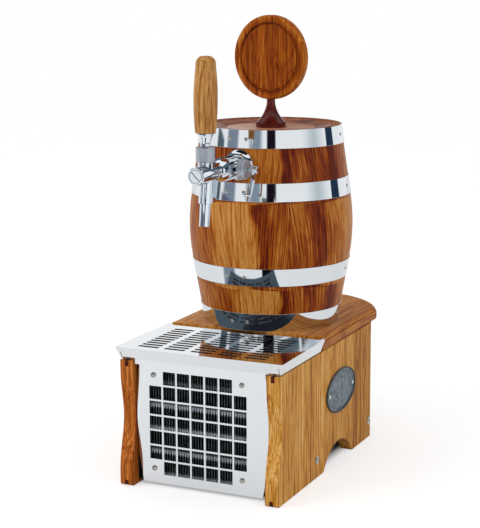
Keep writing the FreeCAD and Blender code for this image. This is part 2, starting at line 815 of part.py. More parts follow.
def shroud_limits():
    """Front face of the shroud and its corners."""
    y = back(CONDENSER_BACK + FIN_DEPTH)
    left = GRILLE_CENTRE_X - FIN_PACK_WIDTH / 2 - SHROUD_WALL
    right = GRILLE_CENTRE_X + FIN_PACK_WIDTH / 2 + SHROUD_WALL
    return y, left, right


def fan_shroud():
    """Open box behind the fins with a round throat, and spacers that reach the front plate."""
    y, left, right = shroud_limits()
    outer = box(V(left, y, CHASSIS_TOP), V(right, y + SHROUD_DEPTH, FIN_PACK_TOP))
    inner = box(V(left + SHROUD_WALL, y - 1, CHASSIS_TOP + SHROUD_WALL),
                V(right - SHROUD_WALL, y + SHROUD_DEPTH - SHROUD_WALL, FIN_PACK_TOP - SHROUD_WALL))
    centre = fan_centre()
    throat = rod(FAN_RADIUS + FAN_TIP_GAP, centre, centre + Y_AXIS * SHROUD_DEPTH * 2)
    shell = without(outer, [inner, throat])
    pieces = [shell]
    for place in plate_screw_places():
        start = V(place.x, back(PLATE_BACK + PLATE_THICKNESS), place.z)
        rear = V(place.x, y + SHROUD_DEPTH - SHROUD_WALL / 2, place.z)
        pieces.append(rod(SPACER_RADIUS, start, rear))
    for turn in range(3):
        arm = box(V(-3, 0, MOTOR_RADIUS - 1), V(3, SHROUD_WALL, FAN_RADIUS + FAN_TIP_GAP + 2))
        arm.rotate(V(0, 0, 0), Y_AXIS, 120 * turn + 60)
        arm.translate(V(centre.x, y + SHROUD_DEPTH - SHROUD_WALL, centre.z))
        pieces.append(arm)
    shroud = joined(pieces)
    holes = [rod(MOTOR_RADIUS, centre + Y_AXIS, centre + Y_AXIS * SHROUD_DEPTH * 2)]
    for place in plate_screw_places():
        holes.append(rod(SCREW_RADIUS, place, place + Y_AXIS * (PLATE_THICKNESS + 9)))
    return without(shroud, holes)


def fan_centre():
    """Point on the fan's axis at the front of the shroud."""
    y = shroud_limits()[0]
    return V(GRILLE_CENTRE_X, y, (CHASSIS_TOP + FIN_PACK_TOP) / 2)


def fan_hub_front():
    """Depth of the fan hub's front face."""
    return fan_centre().y + SHROUD_DEPTH - SHROUD_WALL - FAN_HUB_LENGTH - FAN_ARM_GAP


def fan_blade():
    """Twisted blade lofted from root to tip, pointing up from the origin."""
    ribs = []
    for radius, chord, pitch in ((FAN_HUB_RADIUS - 1, FAN_ROOT_CHORD, 42), (FAN_RADIUS, FAN_TIP_CHORD, 24)):
        half = chord / 2
        face = outline(facing_up(radius), (-half, -0.6),
                       [line((half, -0.6)), line((half, 0.6)), line((-half, 0.6))])
        face.rotate(V(0, 0, radius), Z_AXIS, pitch)
        ribs.append(face.OuterWire)
    return Part.makeLoft(ribs, True)


def fan_rotor():
    """Hub with five twisted blades and its shaft."""
    centre = fan_centre()
    hub_y = fan_hub_front()
    hub = rod(FAN_HUB_RADIUS, V(centre.x, hub_y, centre.z), V(centre.x, hub_y + FAN_HUB_LENGTH, centre.z))
    shaft = rod(FAN_SHAFT_RADIUS, V(centre.x, hub_y, centre.z),
                V(centre.x, hub_y + FAN_HUB_LENGTH + FAN_SHAFT_REACH, centre.z))
    pieces = [hub, shaft]
    for i in range(FAN_BLADES):
        blade = fan_blade()
        blade.rotate(V(0, 0, 0), Y_AXIS, 360 / FAN_BLADES * i)
        blade.translate(V(centre.x, hub_y + FAN_HUB_LENGTH / 2, centre.z))
        pieces.append(blade)
    return joined(pieces)


def fan_motor():
    """Motor can with a bearing bore for the fan shaft."""
    centre = fan_centre()
    front = V(centre.x, centre.y + SHROUD_DEPTH - SHROUD_WALL, centre.z)
    can = rod(MOTOR_RADIUS, front, front + Y_AXIS * MOTOR_LENGTH)
    can = can.makeFillet(3, [e for e in can.Edges if abs(e.CenterOfMass.y - front.y - MOTOR_LENGTH) < 0.01])
    return can.cut(rod(FAN_SHAFT_RADIUS + RUNNING_GAP, front - Y_AXIS,
                       front + Y_AXIS * (FAN_SHAFT_REACH + 2)))


def compressor_base():
    """Height of the compressor's mounting plate."""
    return CHASSIS_TOP + MOUNT_HEIGHT


def mount_places():
    """Centres of the four compressor mounts."""
    half = MOUNT_SPACING / 2
    return [V(i * half, back(COMPRESSOR_BACK) + j * half * 0.6, CHASSIS_TOP) for i in (-1,
                                                                                       1) for j in (-1, 1)]


def compressor():
    """Hermetic shell with a welded seam, on a plate with four feet."""
    y = back(COMPRESSOR_BACK)
    base = compressor_base()
    top = base + COMPRESSOR_HEIGHT
    seam = base + COMPRESSOR_HEIGHT * 0.52
    shoulder = 24.0
    crown = 6.0
    shell = turned_upright(0, y, (0, base), [
        line((COMPRESSOR_RADIUS - 14, base)),
        arc((COMPRESSOR_RADIUS - 4, base + 4), (COMPRESSOR_RADIUS, base + 14)),
        line((COMPRESSOR_RADIUS, seam)),
        line((COMPRESSOR_RADIUS + 3, seam)),
        line((COMPRESSOR_RADIUS + 3, seam + 4)),
        line((COMPRESSOR_RADIUS, seam + 4)),
        line((COMPRESSOR_RADIUS, top - shoulder)),
        arc((COMPRESSOR_RADIUS - shoulder * 0.32, top - crown - shoulder * 0.22),
            (COMPRESSOR_RADIUS - shoulder, top - crown)),
        dome(COMPRESSOR_RADIUS - shoulder, top - crown, top),
    ])
    half = MOUNT_SPACING / 2
    plate = box(V(-half - 10, y - half * 0.6 - 10, base - 2), V(half + 10, y + half * 0.6 + 10, base + 1))
    box_front = V(-COMPRESSOR_RADIUS - 12, y - 18, base + TERMINAL_HEIGHT)
    terminals = box(box_front, box_front + V(24, 36, 34))
    stub_z = base + DISCHARGE_STUB_HEIGHT
    stub = rod(LINE_RADIUS + 1, V(COMPRESSOR_RADIUS - 3, y - 12, stub_z),
               V(COMPRESSOR_RADIUS + 9, y - 12, stub_z))
    suction_z = base + SUCTION_STUB_HEIGHT
    suction = rod(LINE_RADIUS + 1, V(0, y + COMPRESSOR_RADIUS - 3, suction_z),
                  V(0, y + COMPRESSOR_RADIUS + 9, suction_z))
    shell = joined([shell, plate, terminals, stub, suction])
    holes = [rod(4.2, p, p + Z_AXIS * (MOUNT_HEIGHT + 5)) for p in mount_places()]
    return without(shell, holes)


def compressor_mounts():
    """Rubber grommets under the plate, each with a neck through its hole."""
    grommets = []
    for place in mount_places():
        body = rod(9, place, place + Z_AXIS * (MOUNT_HEIGHT - 2))
        neck = rod(4.2, place, place + Z_AXIS * (MOUNT_HEIGHT + 1))
        cap = tapered(6.5, 4.2, place + Z_AXIS * (MOUNT_HEIGHT + 1), place + Z_AXIS * (MOUNT_HEIGHT + 5))
        grommets.append(joined([body, neck, cap]))
    return group(grommets)


def drier_place():
    """Front end of the filter drier, beside the compressor."""
    return V(INNER_HALF - CHASSIS_SIDE_GAP - SHEET - DRIER_RADIUS - 2, back(DRIER_BACK), tube_heights()[-1])


def filter_drier():
    """Copper cylinder with tapered ends."""
    start = drier_place()
    end = start + Y_AXIS * DRIER_LENGTH
    body = rod(DRIER_RADIUS, start + Y_AXIS * 10, end - Y_AXIS * 10)
    front = tapered(LINE_RADIUS, DRIER_RADIUS, start, start + Y_AXIS * 10)
    rear = tapered(DRIER_RADIUS, LINE_RADIUS, end - Y_AXIS * 10, end)
    return joined([body, front, rear])


def coil_tail_xy(side):
    """Plan place of a coil tail, on the well's rear side."""
    radius = WELL_RADIUS + WELL_SHEET + TUBE_RADIUS + FOAM_GAP
    angle = math.radians(90 - side * COIL_GAP_ANGLE / 3)
    return radius * math.cos(angle), BARREL_Y + radius * math.sin(angle)


def coil_tail_end(side):
    """Lower end of a coil tail, under the board."""
    x, y = coil_tail_xy(side)
    return V(x, y, PANEL_HEIGHT - COIL_TAIL / 2)


def coil_tail_holes():
    """Holes for the two coil tails through the board and the barrel floor."""
    holes = []
    for side in (-1, 1):
        x, y = coil_tail_xy(side)
        holes.append(rod(TUBE_RADIUS + 1, V(x, y, PANEL_HEIGHT - 1), V(x, y, WELL_BOTTOM + 1)))
    return holes


def refrigerant_lines():
    """Discharge, liquid and suction lines of the unit."""
    heights = tube_heights()
    y = back(CONDENSER_BACK + TUBE_DEPTH)
    out = tube_end_x()
    lane = drier_place().x
    stub = V(COMPRESSOR_RADIUS + 9, back(COMPRESSOR_BACK) - 12, compressor_base() + DISCHARGE_STUB_HEIGHT)
    discharge = bent_path([
        V(out, y, heights[0]),
        V(lane, y, heights[0]),
        V(lane, stub.y - 30, heights[0]),
        V(lane, stub.y, stub.z + 30),
        V(lane, stub.y, stub.z),
        stub,
    ], 7.0)
    liquid = bent_path([
        V(out, y, heights[-1]),
        V(lane, y, heights[-1]),
        V(lane, drier_place().y, heights[-1]),
    ], 7.0)
    drier_end = drier_place() + Y_AXIS * DRIER_LENGTH
    feed_end = coil_tail_end(1) - Z_AXIS * SEAT_GAP
    capillary = bent_path([
        drier_end,
        drier_end + Y_AXIS * 20,
        V(lane, drier_end.y + 60, feed_end.z - 24),
        V(lane, feed_end.y, feed_end.z - 24),
        V(feed_end.x, feed_end.y, feed_end.z - 24),
        feed_end,
    ], 9.0)
    suction_stub = V(0, back(COMPRESSOR_BACK) + COMPRESSOR_RADIUS + 9,
                     compressor_base() + SUCTION_STUB_HEIGHT)
    return_end = coil_tail_end(-1) - Z_AXIS * SEAT_GAP
    suction = bent_path([
        return_end,
        V(return_end.x, return_end.y, return_end.z - 12),
        V(return_end.x, suction_stub.y + 24, suction_stub.z + 14),
        V(0, suction_stub.y + 24, suction_stub.z),
        suction_stub,
    ], 5.0)
    return group([
        swept(discharge, LINE_RADIUS),
        swept(liquid, LINE_RADIUS),
        swept(capillary, LINE_RADIUS / 2),
        swept(suction, LINE_RADIUS),
    ])


# ---------------------------------------------------------------- service panel
def service_screw_places():
    """Corners of the service panel, on the wall's landing."""
    x = SERVICE_WIDTH / 2 - SERVICE_SCREW_INSET
    z = SERVICE_HEIGHT / 2 - SERVICE_SCREW_INSET
    y = back(WALL_FLAT_BACK)
    return [V(i * x, y, SERVICE_CENTRE_Z + j * z) for i in (-1, 1) for j in (-1, 1)]


def service_holes():
    """Pilot holes for the service panel's screws."""
    holes = []
    for place in service_screw_places():
        holes.append(rod(SCREW_RADIUS, place - Y_AXIS * 6, place + Y_AXIS * (SERVICE_THICKNESS + 1)))
    return holes


def knob_centre():
    """Centre of the thermostat knob on the panel's outer face."""
    return V(-SERVICE_WIDTH / 4, back(WALL_FLAT_BACK) + SERVICE_THICKNESS, SERVICE_CENTRE_Z - 8)


def switch_centre():
    """Centre of the power switch on the panel's outer face."""
    return V(SERVICE_WIDTH / 4, back(WALL_FLAT_BACK) + SERVICE_THICKNESS, SERVICE_CENTRE_Z - 8)


def inlet_centre():
    """Centre of the mains inlet on the panel's outer face."""
    return V(0, back(WALL_FLAT_BACK) + SERVICE_THICKNESS, SERVICE_CENTRE_Z - SERVICE_HEIGHT * 0.3)


def panel_cutout(centre, half_x, half_z):
    """Square hole through the service panel."""
    return box(V(centre.x - half_x, centre.y - SERVICE_THICKNESS - 1, centre.z - half_z),
               V(centre.x + half_x, centre.y + 1, centre.z + half_z))


def service_panel():
    """Steel panel with louvres and cut-outs for the controls."""
    y = back(WALL_FLAT_BACK)
    half = SERVICE_WIDTH / 2 - WOOD_GAP
    tall = SERVICE_HEIGHT / 2 - WOOD_GAP
    sheet = box(V(-half, y, SERVICE_CENTRE_Z - tall),
                V(half, y + SERVICE_THICKNESS, SERVICE_CENTRE_Z + tall))
    sheet = sheet.makeFillet(4, edges_along(sheet, Y_AXIS))
    tools = service_holes()
    top = SERVICE_CENTRE_Z + SERVICE_HEIGHT / 2 - 16
    for i in range(LOUVRE_COUNT):
        z = top - i * LOUVRE_PITCH
        tools.append(box(V(-LOUVRE_LENGTH / 2, y - 1, z - LOUVRE_HEIGHT), V(LOUVRE_LENGTH / 2, y + 3, z)))
    knob = knob_centre()
    tools.append(rod(4, knob - Y_AXIS * 4, knob + Y_AXIS))
    tools.append(panel_cutout(switch_centre(), ROCKER_WIDTH / 2 + SWITCH_FRAME / 2,
                              ROCKER_HEIGHT / 2 + SWITCH_FRAME / 2))
    tools.append(panel_cutout(inlet_centre(), INLET_WIDTH / 2, INLET_HEIGHT / 2))
    return without(sheet, tools)


def service_screws():
    """Four screws of the service panel."""
    screws = []
    for place in service_screw_places():
        screws.append(pan_head_screw(place + Y_AXIS * SERVICE_THICKNESS, Y_AXIS * -1,
                                     SERVICE_THICKNESS + 5, SCREW_HEAD_HEIGHT))
    return group(screws)


def thermostat():
    """Switch body behind the panel, with a bush that carries the knob's shaft."""
    centre = knob_centre()
    rear = centre.y - SERVICE_THICKNESS
    half_x = THERMOSTAT_HALF_WIDTH
    half_z = THERMOSTAT_HALF_HEIGHT
    body = box(V(centre.x - half_x, rear - THERMOSTAT_DEPTH, centre.z - half_z),
               V(centre.x + half_x, rear, centre.z + half_z))
    bush = rod(4, V(centre.x, rear, centre.z), V(centre.x, centre.y + 2, centre.z))
    bore = rod(3 + RUNNING_GAP, V(centre.x, rear - 14, centre.z), V(centre.x, centre.y + 4, centre.z))
    return body.fuse(bush).cut(bore)


def thermostat_knob():
    """Knob with a pointer rib, on its shaft."""
    centre = knob_centre()
    start = centre + Y_AXIS * 2.4
    skirt = tapered(KNOB_RADIUS, KNOB_RADIUS - 1.5, start, start + Y_AXIS * KNOB_DEPTH)
    rib = box(V(centre.x - 1.2, start.y, centre.z),
              V(centre.x + 1.2, start.y + KNOB_DEPTH + 1.2, centre.z + KNOB_RADIUS - 1.5))
    shaft = rod(3, centre - Y_AXIS * 13, start + Y_AXIS * 2)
    return joined([skirt, rib, shaft])


def switch_housing():
    """Bezel and box that the rocker pivots in."""
    centre = switch_centre()
    half_x = ROCKER_WIDTH / 2
    half_z = ROCKER_HEIGHT / 2
    bezel = box(V(centre.x - half_x - SWITCH_FRAME, centre.y, centre.z - half_z - SWITCH_FRAME),
                V(centre.x + half_x + SWITCH_FRAME, centre.y + 2, centre.z + half_z + SWITCH_FRAME))
    case = box(V(centre.x - half_x - SWITCH_FRAME / 2, centre.y - 18, centre.z - half_z - SWITCH_FRAME / 2),
               V(centre.x + half_x + SWITCH_FRAME / 2, centre.y, centre.z + half_z + SWITCH_FRAME / 2))
    well = box(V(centre.x - half_x - 0.3, centre.y - 12, centre.z - half_z - 0.5),
               V(centre.x + half_x + 0.3, centre.y + 3, centre.z + half_z + 0.5))
    pivot = rod(ROCKER_PIN + RUNNING_GAP, V(centre.x - half_x - 1, centre.y, centre.z),
                V(centre.x + half_x + 1, centre.y, centre.z))
    return without(bezel.fuse(case), [well, pivot])


def switch_rocker():
    """Rocker with a shallow V face, resting with its lower half pressed."""
    centre = switch_centre()
    half = ROCKER_HEIGHT / 2
    face = outline(facing_side(centre.x - ROCKER_WIDTH / 2), (-6.0, 0.0), [
        line((-1.0, -half + 0.6)),
        line((3.2, -half + 0.6)),
        line((2.0, 0)),
        line((3.2, half - 0.6)),
        line((-1.0, half - 0.6)),
    ])
    pin = rod(ROCKER_PIN, V(centre.x - ROCKER_WIDTH / 2 - 0.8, 0, 0),
              V(centre.x + ROCKER_WIDTH / 2 + 0.8, 0, 0))
    rocker = face.extrude(V(ROCKER_WIDTH, 0, 0)).fuse(pin)
    rocker.rotate(V(0, 0, 0), X_AXIS, ROCKER_TILT)
    rocker.translate(V(0, centre.y, centre.z))
    return rocker


def mains_inlet():
    """Recessed three-pin inlet in a flange."""
    centre = inlet_centre()
    flange = box(V(centre.x - INLET_WIDTH / 2 - 3, centre.y, centre.z - INLET_HEIGHT / 2 - 3),
                 V(centre.x + INLET_WIDTH / 2 + 3, centre.y + 2, centre.z + INLET_HEIGHT / 2 + 3))
    case = box(V(centre.x - INLET_WIDTH / 2 + 0.2, centre.y - 22, centre.z - INLET_HEIGHT / 2 + 0.2),
               V(centre.x + INLET_WIDTH / 2 - 0.2, centre.y, centre.z + INLET_HEIGHT / 2 - 0.2))
    recess = box(V(centre.x - INLET_WIDTH / 2 + 2.5, centre.y - 16, centre.z - INLET_HEIGHT / 2 + 2.5),
                 V(centre.x + INLET_WIDTH / 2 - 2.5, centre.y + 3, centre.z + INLET_HEIGHT / 2 - 2.5))
    body = flange.fuse(case).cut(recess)
    pins = [body]
    for dx, dz in ((-7, -2), (0, 3), (7, -2)):
        pins.append(box(V(centre.x + dx - 1, centre.y - 17, centre.z + dz - 2),
                        V(centre.x + dx + 1, centre.y - 3, centre.z + dz + 2)))
    return joined(pins)


# ---------------------------------------------------------------- badge
def ellipse_solid(half_length, half_height, start_x, thickness):
    """Oval plate on the right side's outer face."""
    centre = V(start_x, back(BADGE_BACK), BADGE_Z)
    ellipse = Part.Ellipse(centre + Y_AXIS * half_length, centre + Z_AXIS * half_height, centre)
    return Part.Face(Part.Wire(ellipse.toShape())).extrude(V(thickness, 0, 0))


def badge_rivet_places():
    """Centres of the badge's two rivets on its field."""
    x = HALF_WIDTH + BADGE_THICKNESS
    return [V(x, back(BADGE_BACK) + i * BADGE_RIVET_SPACING / 2, BADGE_Z) for i in (-1, 1)]


def badge_plate():
    """Bare oval plate with a raised rim."""
    plate = ellipse_solid(BADGE_LENGTH / 2, BADGE_HEIGHT / 2, HALF_WIDTH,
                          BADGE_THICKNESS + BADGE_RIM_HEIGHT)
    field = ellipse_solid(BADGE_LENGTH / 2 - BADGE_RIM, BADGE_HEIGHT / 2 - BADGE_RIM,
                          HALF_WIDTH + BADGE_THICKNESS, BADGE_RIM_HEIGHT * 2)
    return plate.cut(field)


def badge_rivets():
    """Two domed rivets on the badge."""
    rivets = []
    for place in badge_rivet_places():
        rim = rod(BADGE_RIVET_RADIUS, place, place + X_AXIS * 0.7)
        dome = tapered(BADGE_RIVET_RADIUS, BADGE_RIVET_RADIUS / 2, place + X_AXIS * 0.7,
                       place + X_AXIS * 1.7)
        rivets.append(rim.fuse(dome))
    return group(rivets)


# ---------------------------------------------------------------- drip tray
def tray_wire(front_half, rear_half, front, rear, z):
    """Four-sided outline at one height, wider at the front where the tray flares."""
    return outline(facing_up(z), (-front_half, front),
                   [line((front_half, front)), line((rear_half, rear)),
                    line((-rear_half, rear))]).OuterWire


def tray_slots():
    """Slots in five columns and ten rows."""
    slots = []
    middle = (SLOT_COLUMNS - 1) / 2
    for column in range(SLOT_COLUMNS):
        for row in range(SLOT_ROWS):
            x = SLOT_CENTRE_X + (column - middle) * SLOT_PITCH_X
            y = back(SLOT_FRONT) + row * SLOT_PITCH_Y
            slots.append(box(V(x - SLOT_LENGTH / 2, y - SLOT_WIDTH / 2, TRAY_TOP - 3),
                             V(x + SLOT_LENGTH / 2, y + SLOT_WIDTH / 2, TRAY_TOP + 1)))
    return slots


def apron_bottom():
    """Height of the lower edge of the aprons."""
    return PANEL_HEIGHT + APRON_LIFT


def drip_tray_cover():
    """Folded cover: slotted top, inward-leaning aprons and a flange between the panels."""
    low = apron_bottom()
    rear = back(TRAY_REAR)
    foot = APRON_BOTTOM_HALF_WIDTH
    outer = Part.makeLoft([
        tray_wire(TRAY_HALF_WIDTH + TRAY_FLARE, TRAY_HALF_WIDTH, back(TRAY_FRONT), rear, TRAY_TOP),
        tray_wire(foot, foot, back(APRON_BOTTOM_FRONT), rear - APRON_REAR_LEAN, low),
    ], True)
    fold = TRAY_SHEET
    taper = TRAY_FLARE / (TRAY_REAR - TRAY_FRONT)
    inner = Part.makeLoft([
        tray_wire(TRAY_HALF_WIDTH + TRAY_FLARE - fold * (1 + taper), TRAY_HALF_WIDTH - fold - 9 * taper,
                  back(TRAY_FRONT) + fold, rear + 9, TRAY_TOP - fold),
        tray_wire(foot - fold, foot - fold, back(APRON_BOTTOM_FRONT) + fold, rear + 9, low - 0.01),
    ], True)
    shell = outer.cut(inner)
    front = back(APRON_BOTTOM_FRONT)
    flange = box(V(-FLANGE_HALF_WIDTH, front, low - FLANGE_DROP),
                 V(FLANGE_HALF_WIDTH, front + fold, low + 0.5))
    seams = []
    for side in (-1, 1):
        x = side * (APRON_BOTTOM_HALF_WIDTH - fold)
        seams.append(box(V(x - SEAM_WIDTH / 2, front - 9, low - 1),
                         V(x + SEAM_WIDTH / 2, front + 2 * fold, low + 11)))
    return without(shell.fuse(flange), seams + tray_slots())


def drip_pan():
    """Pressed pan whose upright walls carry the cover and whose flange lies on the panels."""
    rim = TRAY_TOP - TRAY_SHEET - SEAT_GAP
    front = back(PAN_FRONT)
    rear = back(PAN_REAR)
    outer = box(V(-PAN_HALF_WIDTH, front, PAN_FLOOR_Z), V(PAN_HALF_WIDTH, rear, rim))
    outer = outer.makeFillet(6, edges_along(outer, Z_AXIS))
    reach = PAN_HALF_WIDTH + PAN_FLANGE
    seat = PANEL_HEIGHT + SEAT_GAP
    flange = box(V(-reach, front - PAN_LIP, seat), V(reach, rear + PAN_TAIL, seat + PAN_SHEET))
    inner = box(V(-PAN_HALF_WIDTH + PAN_SHEET, front + PAN_SHEET, PAN_FLOOR_Z + PAN_SHEET),
                V(PAN_HALF_WIDTH - PAN_SHEET, rear - PAN_SHEET, rim + 1))
    inner = inner.makeFillet(5, edges_along(inner, Z_AXIS))
    return outer.fuse(flange).cut(inner)


# ---------------------------------------------------------------- barrel
def flank(end_radius, end_height):
    """Point where the bilge's arc meets a straight flank, and the flank's slope from the axis."""
    rise = end_height - BELLY_HEIGHT
    centre = BARREL_BELLY_RADIUS - BELLY_BEND
    run = end_radius - centre
    distance = math.hypot(run, rise)
    angle = math.atan2(rise, run)
    side = 1 if rise > 0 else -1
    tangent = angle - side * math.acos(BELLY_BEND / distance)
    return centre + BELLY_BEND * math.cos(tangent), BELLY_HEIGHT + BELLY_BEND * math.sin(tangent), tangent


def barrel_radius(height):
    """Outer radius of the bare barrel at a height above its foot."""
    low_r, low_h, low_angle = flank(BARREL_BOTTOM_RADIUS, 0)
    top_r, top_h, top_angle = flank(BARREL_TOP_RADIUS, BARREL_HEIGHT)
    if height < low_h:
        return BARREL_BOTTOM_RADIUS + (low_r - BARREL_BOTTOM_RADIUS) * height / low_h
    if height > top_h:
        share = (height - top_h) / (BARREL_HEIGHT - top_h)
        return top_r + (BARREL_TOP_RADIUS - top_r) * share
    rise = height - BELLY_HEIGHT
    return BARREL_BELLY_RADIUS - BELLY_BEND + math.sqrt(BELLY_BEND ** 2 - rise ** 2)


def inner_radius(height):
    """Inner radius of the staves at a height above the barrel's foot."""
    return barrel_radius(height) - STAVE_THICKNESS


def barrel_steps(inset):
    """Outer outline of the barrel from foot to rim, moved inward by an inset."""
    low_h = flank(BARREL_BOTTOM_RADIUS, 0)[1]
    top_h = flank(BARREL_TOP_RADIUS, BARREL_HEIGHT)[1]
    return [
        line((barrel_radius(low_h) - inset, BOARD_TOP + low_h)),
        arc((BARREL_BELLY_RADIUS - inset, BOARD_TOP + BELLY_HEIGHT),
            (barrel_radius(top_h) - inset, BOARD_TOP + top_h)),
        line((BARREL_TOP_RADIUS - inset, BARREL_TOP)),
    ]


def barrel_block():
    """Solid of the barrel's outer form."""
    steps = [line((BARREL_BOTTOM_RADIUS, BOARD_TOP))] + barrel_steps(0) + [line((0, BARREL_TOP))]
    return turned_upright(0, BARREL_Y, (0, BOARD_TOP), steps)


def dish_height(radius):
    """Height of the dished top at a radius outside its flat field."""
    return DISH_Z + DISH_DEPTH * (radius - DISH_RADIUS) / (CHIME_RADIUS - DISH_RADIUS)


def stave_section():
    """Section of one stave, with the chime sloped into the dish."""
    low_h = flank(BARREL_BOTTOM_RADIUS, 0)[1]
    top_h = flank(BARREL_TOP_RADIUS, BARREL_HEIGHT)[1]
    inner = BARREL_TOP_RADIUS - STAVE_THICKNESS
    steps = barrel_steps(0) + [
        line((CHIME_RADIUS, BARREL_TOP)),
        line((inner, dish_height(inner))),
        line((barrel_radius(top_h) - STAVE_THICKNESS, BOARD_TOP + top_h)),
        arc((BARREL_BELLY_RADIUS - STAVE_THICKNESS, BOARD_TOP + BELLY_HEIGHT),
            (barrel_radius(low_h) - STAVE_THICKNESS, BOARD_TOP + low_h)),
        line((BARREL_BOTTOM_RADIUS - STAVE_THICKNESS, BOARD_TOP)),
    ]
    return outline(lambda r, z: V(r, 0, z), (BARREL_BOTTOM_RADIUS, BOARD_TOP), steps)


def shank_hole(radius):
    """Bore for the tap's shank, from the barrel's front into the well."""
    return rod(radius, V(0, tap(TAP_TAIL) - 2, TAP_Z), V(0, tap(SHANK_END) + 4, TAP_Z))


def barrel_staves():
    """Ring of separate staves; the one behind the tap is bored for the shank."""
    step = 360 / STAVE_COUNT
    staves = []
    hole = shank_hole(SHANK_RADIUS + SHANK_HOLE_GAP)
    for i in range(STAVE_COUNT):
        face = stave_section()
        face.rotate(V(0, 0, 0), Z_AXIS, -90 + STAVE_PHASE + STAVE_JOINT / 2 + i * step)
        face.translate(V(0, BARREL_Y, 0))
        stave = face.revolve(V(0, BARREL_Y, 0), Z_AXIS, step - STAVE_JOINT)
        if i == 0:
            stave = stave.cut(hole)
        staves.append(without(stave, coil_tail_holes()))
    return group(staves)


def hoop(low):
    """Conical band seated on the barrel, from a height above its foot."""
    high = min(low + HOOP_HEIGHT, BARREL_HEIGHT)
    low_r = barrel_radius(low)
    high_r = barrel_radius(high)
    return turned_upright(0, BARREL_Y, (low_r, BOARD_TOP + low), [
        line((low_r + HOOP_THICKNESS, BOARD_TOP + low)),
        line((high_r + HOOP_THICKNESS, BOARD_TOP + high)),
        line((high_r, BOARD_TOP + high)),
    ])


def hoop_heights():
    """Lower edges of the four hoops, from the top one down."""
    return [BARREL_HEIGHT - HOOP_HEIGHT, HOOP_2_HEIGHT, HOOP_3_HEIGHT, 0.0]


def rivet_azimuths():
    """A pair at the front, where the hoop's ends lap, and single ones round the rest."""
    pair = [RIVET_AZIMUTH - RIVET_SPREAD, RIVET_AZIMUTH + RIVET_SPREAD]
    return pair + [SINGLE_RIVET_AZIMUTH + i * SINGLE_RIVET_STEP for i in range(3)]


def hoop_rivets():
    """Rivets with low heads round each hoop."""
    rivets = []
    for low in hoop_heights():
        middle = low + HOOP_HEIGHT / 2
        radius = barrel_radius(middle) + HOOP_THICKNESS
        lean = math.degrees(math.atan2(barrel_radius(low) - barrel_radius(low + HOOP_HEIGHT), HOOP_HEIGHT))
        for turn in rivet_azimuths():
            rivet = tapered(RIVET_RADIUS, RIVET_RADIUS * 0.55, V(0, 0, 0), V(0, -RIVET_HEIGHT, 0))
            rivet.rotate(V(0, 0, 0), X_AXIS, -lean)
            rivet.translate(V(0, -radius, middle))
            rivet.rotate(V(0, 0, 0), Z_AXIS, turn)
            rivet.translate(V(0, BARREL_Y, BOARD_TOP))
            rivets.append(rivet)
    return group(rivets)


def barrel_floor():
    """Wooden floor inside the staves, a little above the board."""
    low = FLOOR_HEIGHT
    high = FLOOR_HEIGHT + FLOOR_THICKNESS
    disc = tapered(inner_radius(low) - WOOD_GAP, inner_radius(high) - WOOD_GAP,
                   V(0, BARREL_Y, BOARD_TOP + low), V(0, BARREL_Y, BOARD_TOP + high))
    return without(disc, coil_tail_holes())


# ---------------------------------------------------------------- lid
def barrel_lid():
    """Dished lid that continues the chime's slope, with a plug that centres it in the well."""
    rim = BARREL_TOP_RADIUS - STAVE_THICKNESS - LID_FIT
    return turned_upright(0, BARREL_Y, (0, LID_BOTTOM), [
        line((rim, LID_BOTTOM)),
        line((rim, dish_height(rim))),
        line((DISH_RADIUS, DISH_Z)),
        line((0, DISH_Z)),
    ])


def disc_blank():
    """Round disc with rounded edges, standing over the lid."""
    front = V(0, BARREL_Y - DISC_THICKNESS / 2, DISC_Z)
    disc = rod(DISC_RADIUS, front, front + Y_AXIS * DISC_THICKNESS)
    rims = [e for e in disc.Edges if e.Closed]
    return disc.makeFillet(DISC_ROUND, rims)


def medallion_foot():
    """Turned foot with a concave flare, and a dowel that stands in the disc."""
    rim_top = DISH_Z + FOOT_RIM_HEIGHT
    neck_z = DISH_Z + FOOT_NECK_HEIGHT
    neck_top = DISH_Z + DISC_LIFT + 4
    middle_r = FOOT_NECK_RADIUS + (FOOT_RADIUS - FOOT_NECK_RADIUS) * 0.34
    middle_z = rim_top + (neck_z - rim_top) * 0.42
    body = turned_upright(0, BARREL_Y, (0, DISH_Z), [
        line((FOOT_RADIUS - 0.4, DISH_Z)),
        line((FOOT_RADIUS, DISH_Z + 0.4)),
        line((FOOT_RADIUS, rim_top - 1)),
        line((FOOT_RADIUS - 1, rim_top)),
        line((FOOT_RADIUS - FOOT_STEP, rim_top)),
        arc((middle_r, middle_z), (FOOT_NECK_RADIUS, neck_z)),
        line((FOOT_NECK_RADIUS, neck_top)),
        line((0, neck_top)),
    ])
    blank = rod(DISC_RADIUS, V(0, BARREL_Y - DISC_THICKNESS, DISC_Z),
                V(0, BARREL_Y + DISC_THICKNESS, DISC_Z))
    dowel = rod(DOWEL_RADIUS, V(0, BARREL_Y, DISH_Z + 10),
                V(0, BARREL_Y, DISH_Z + DISC_LIFT + DOWEL_LENGTH))
    foot = body.cut(blank).fuse(dowel)
    foot.rotate(V(0, BARREL_Y, 0), Z_AXIS, DISC_TURN)
    return foot


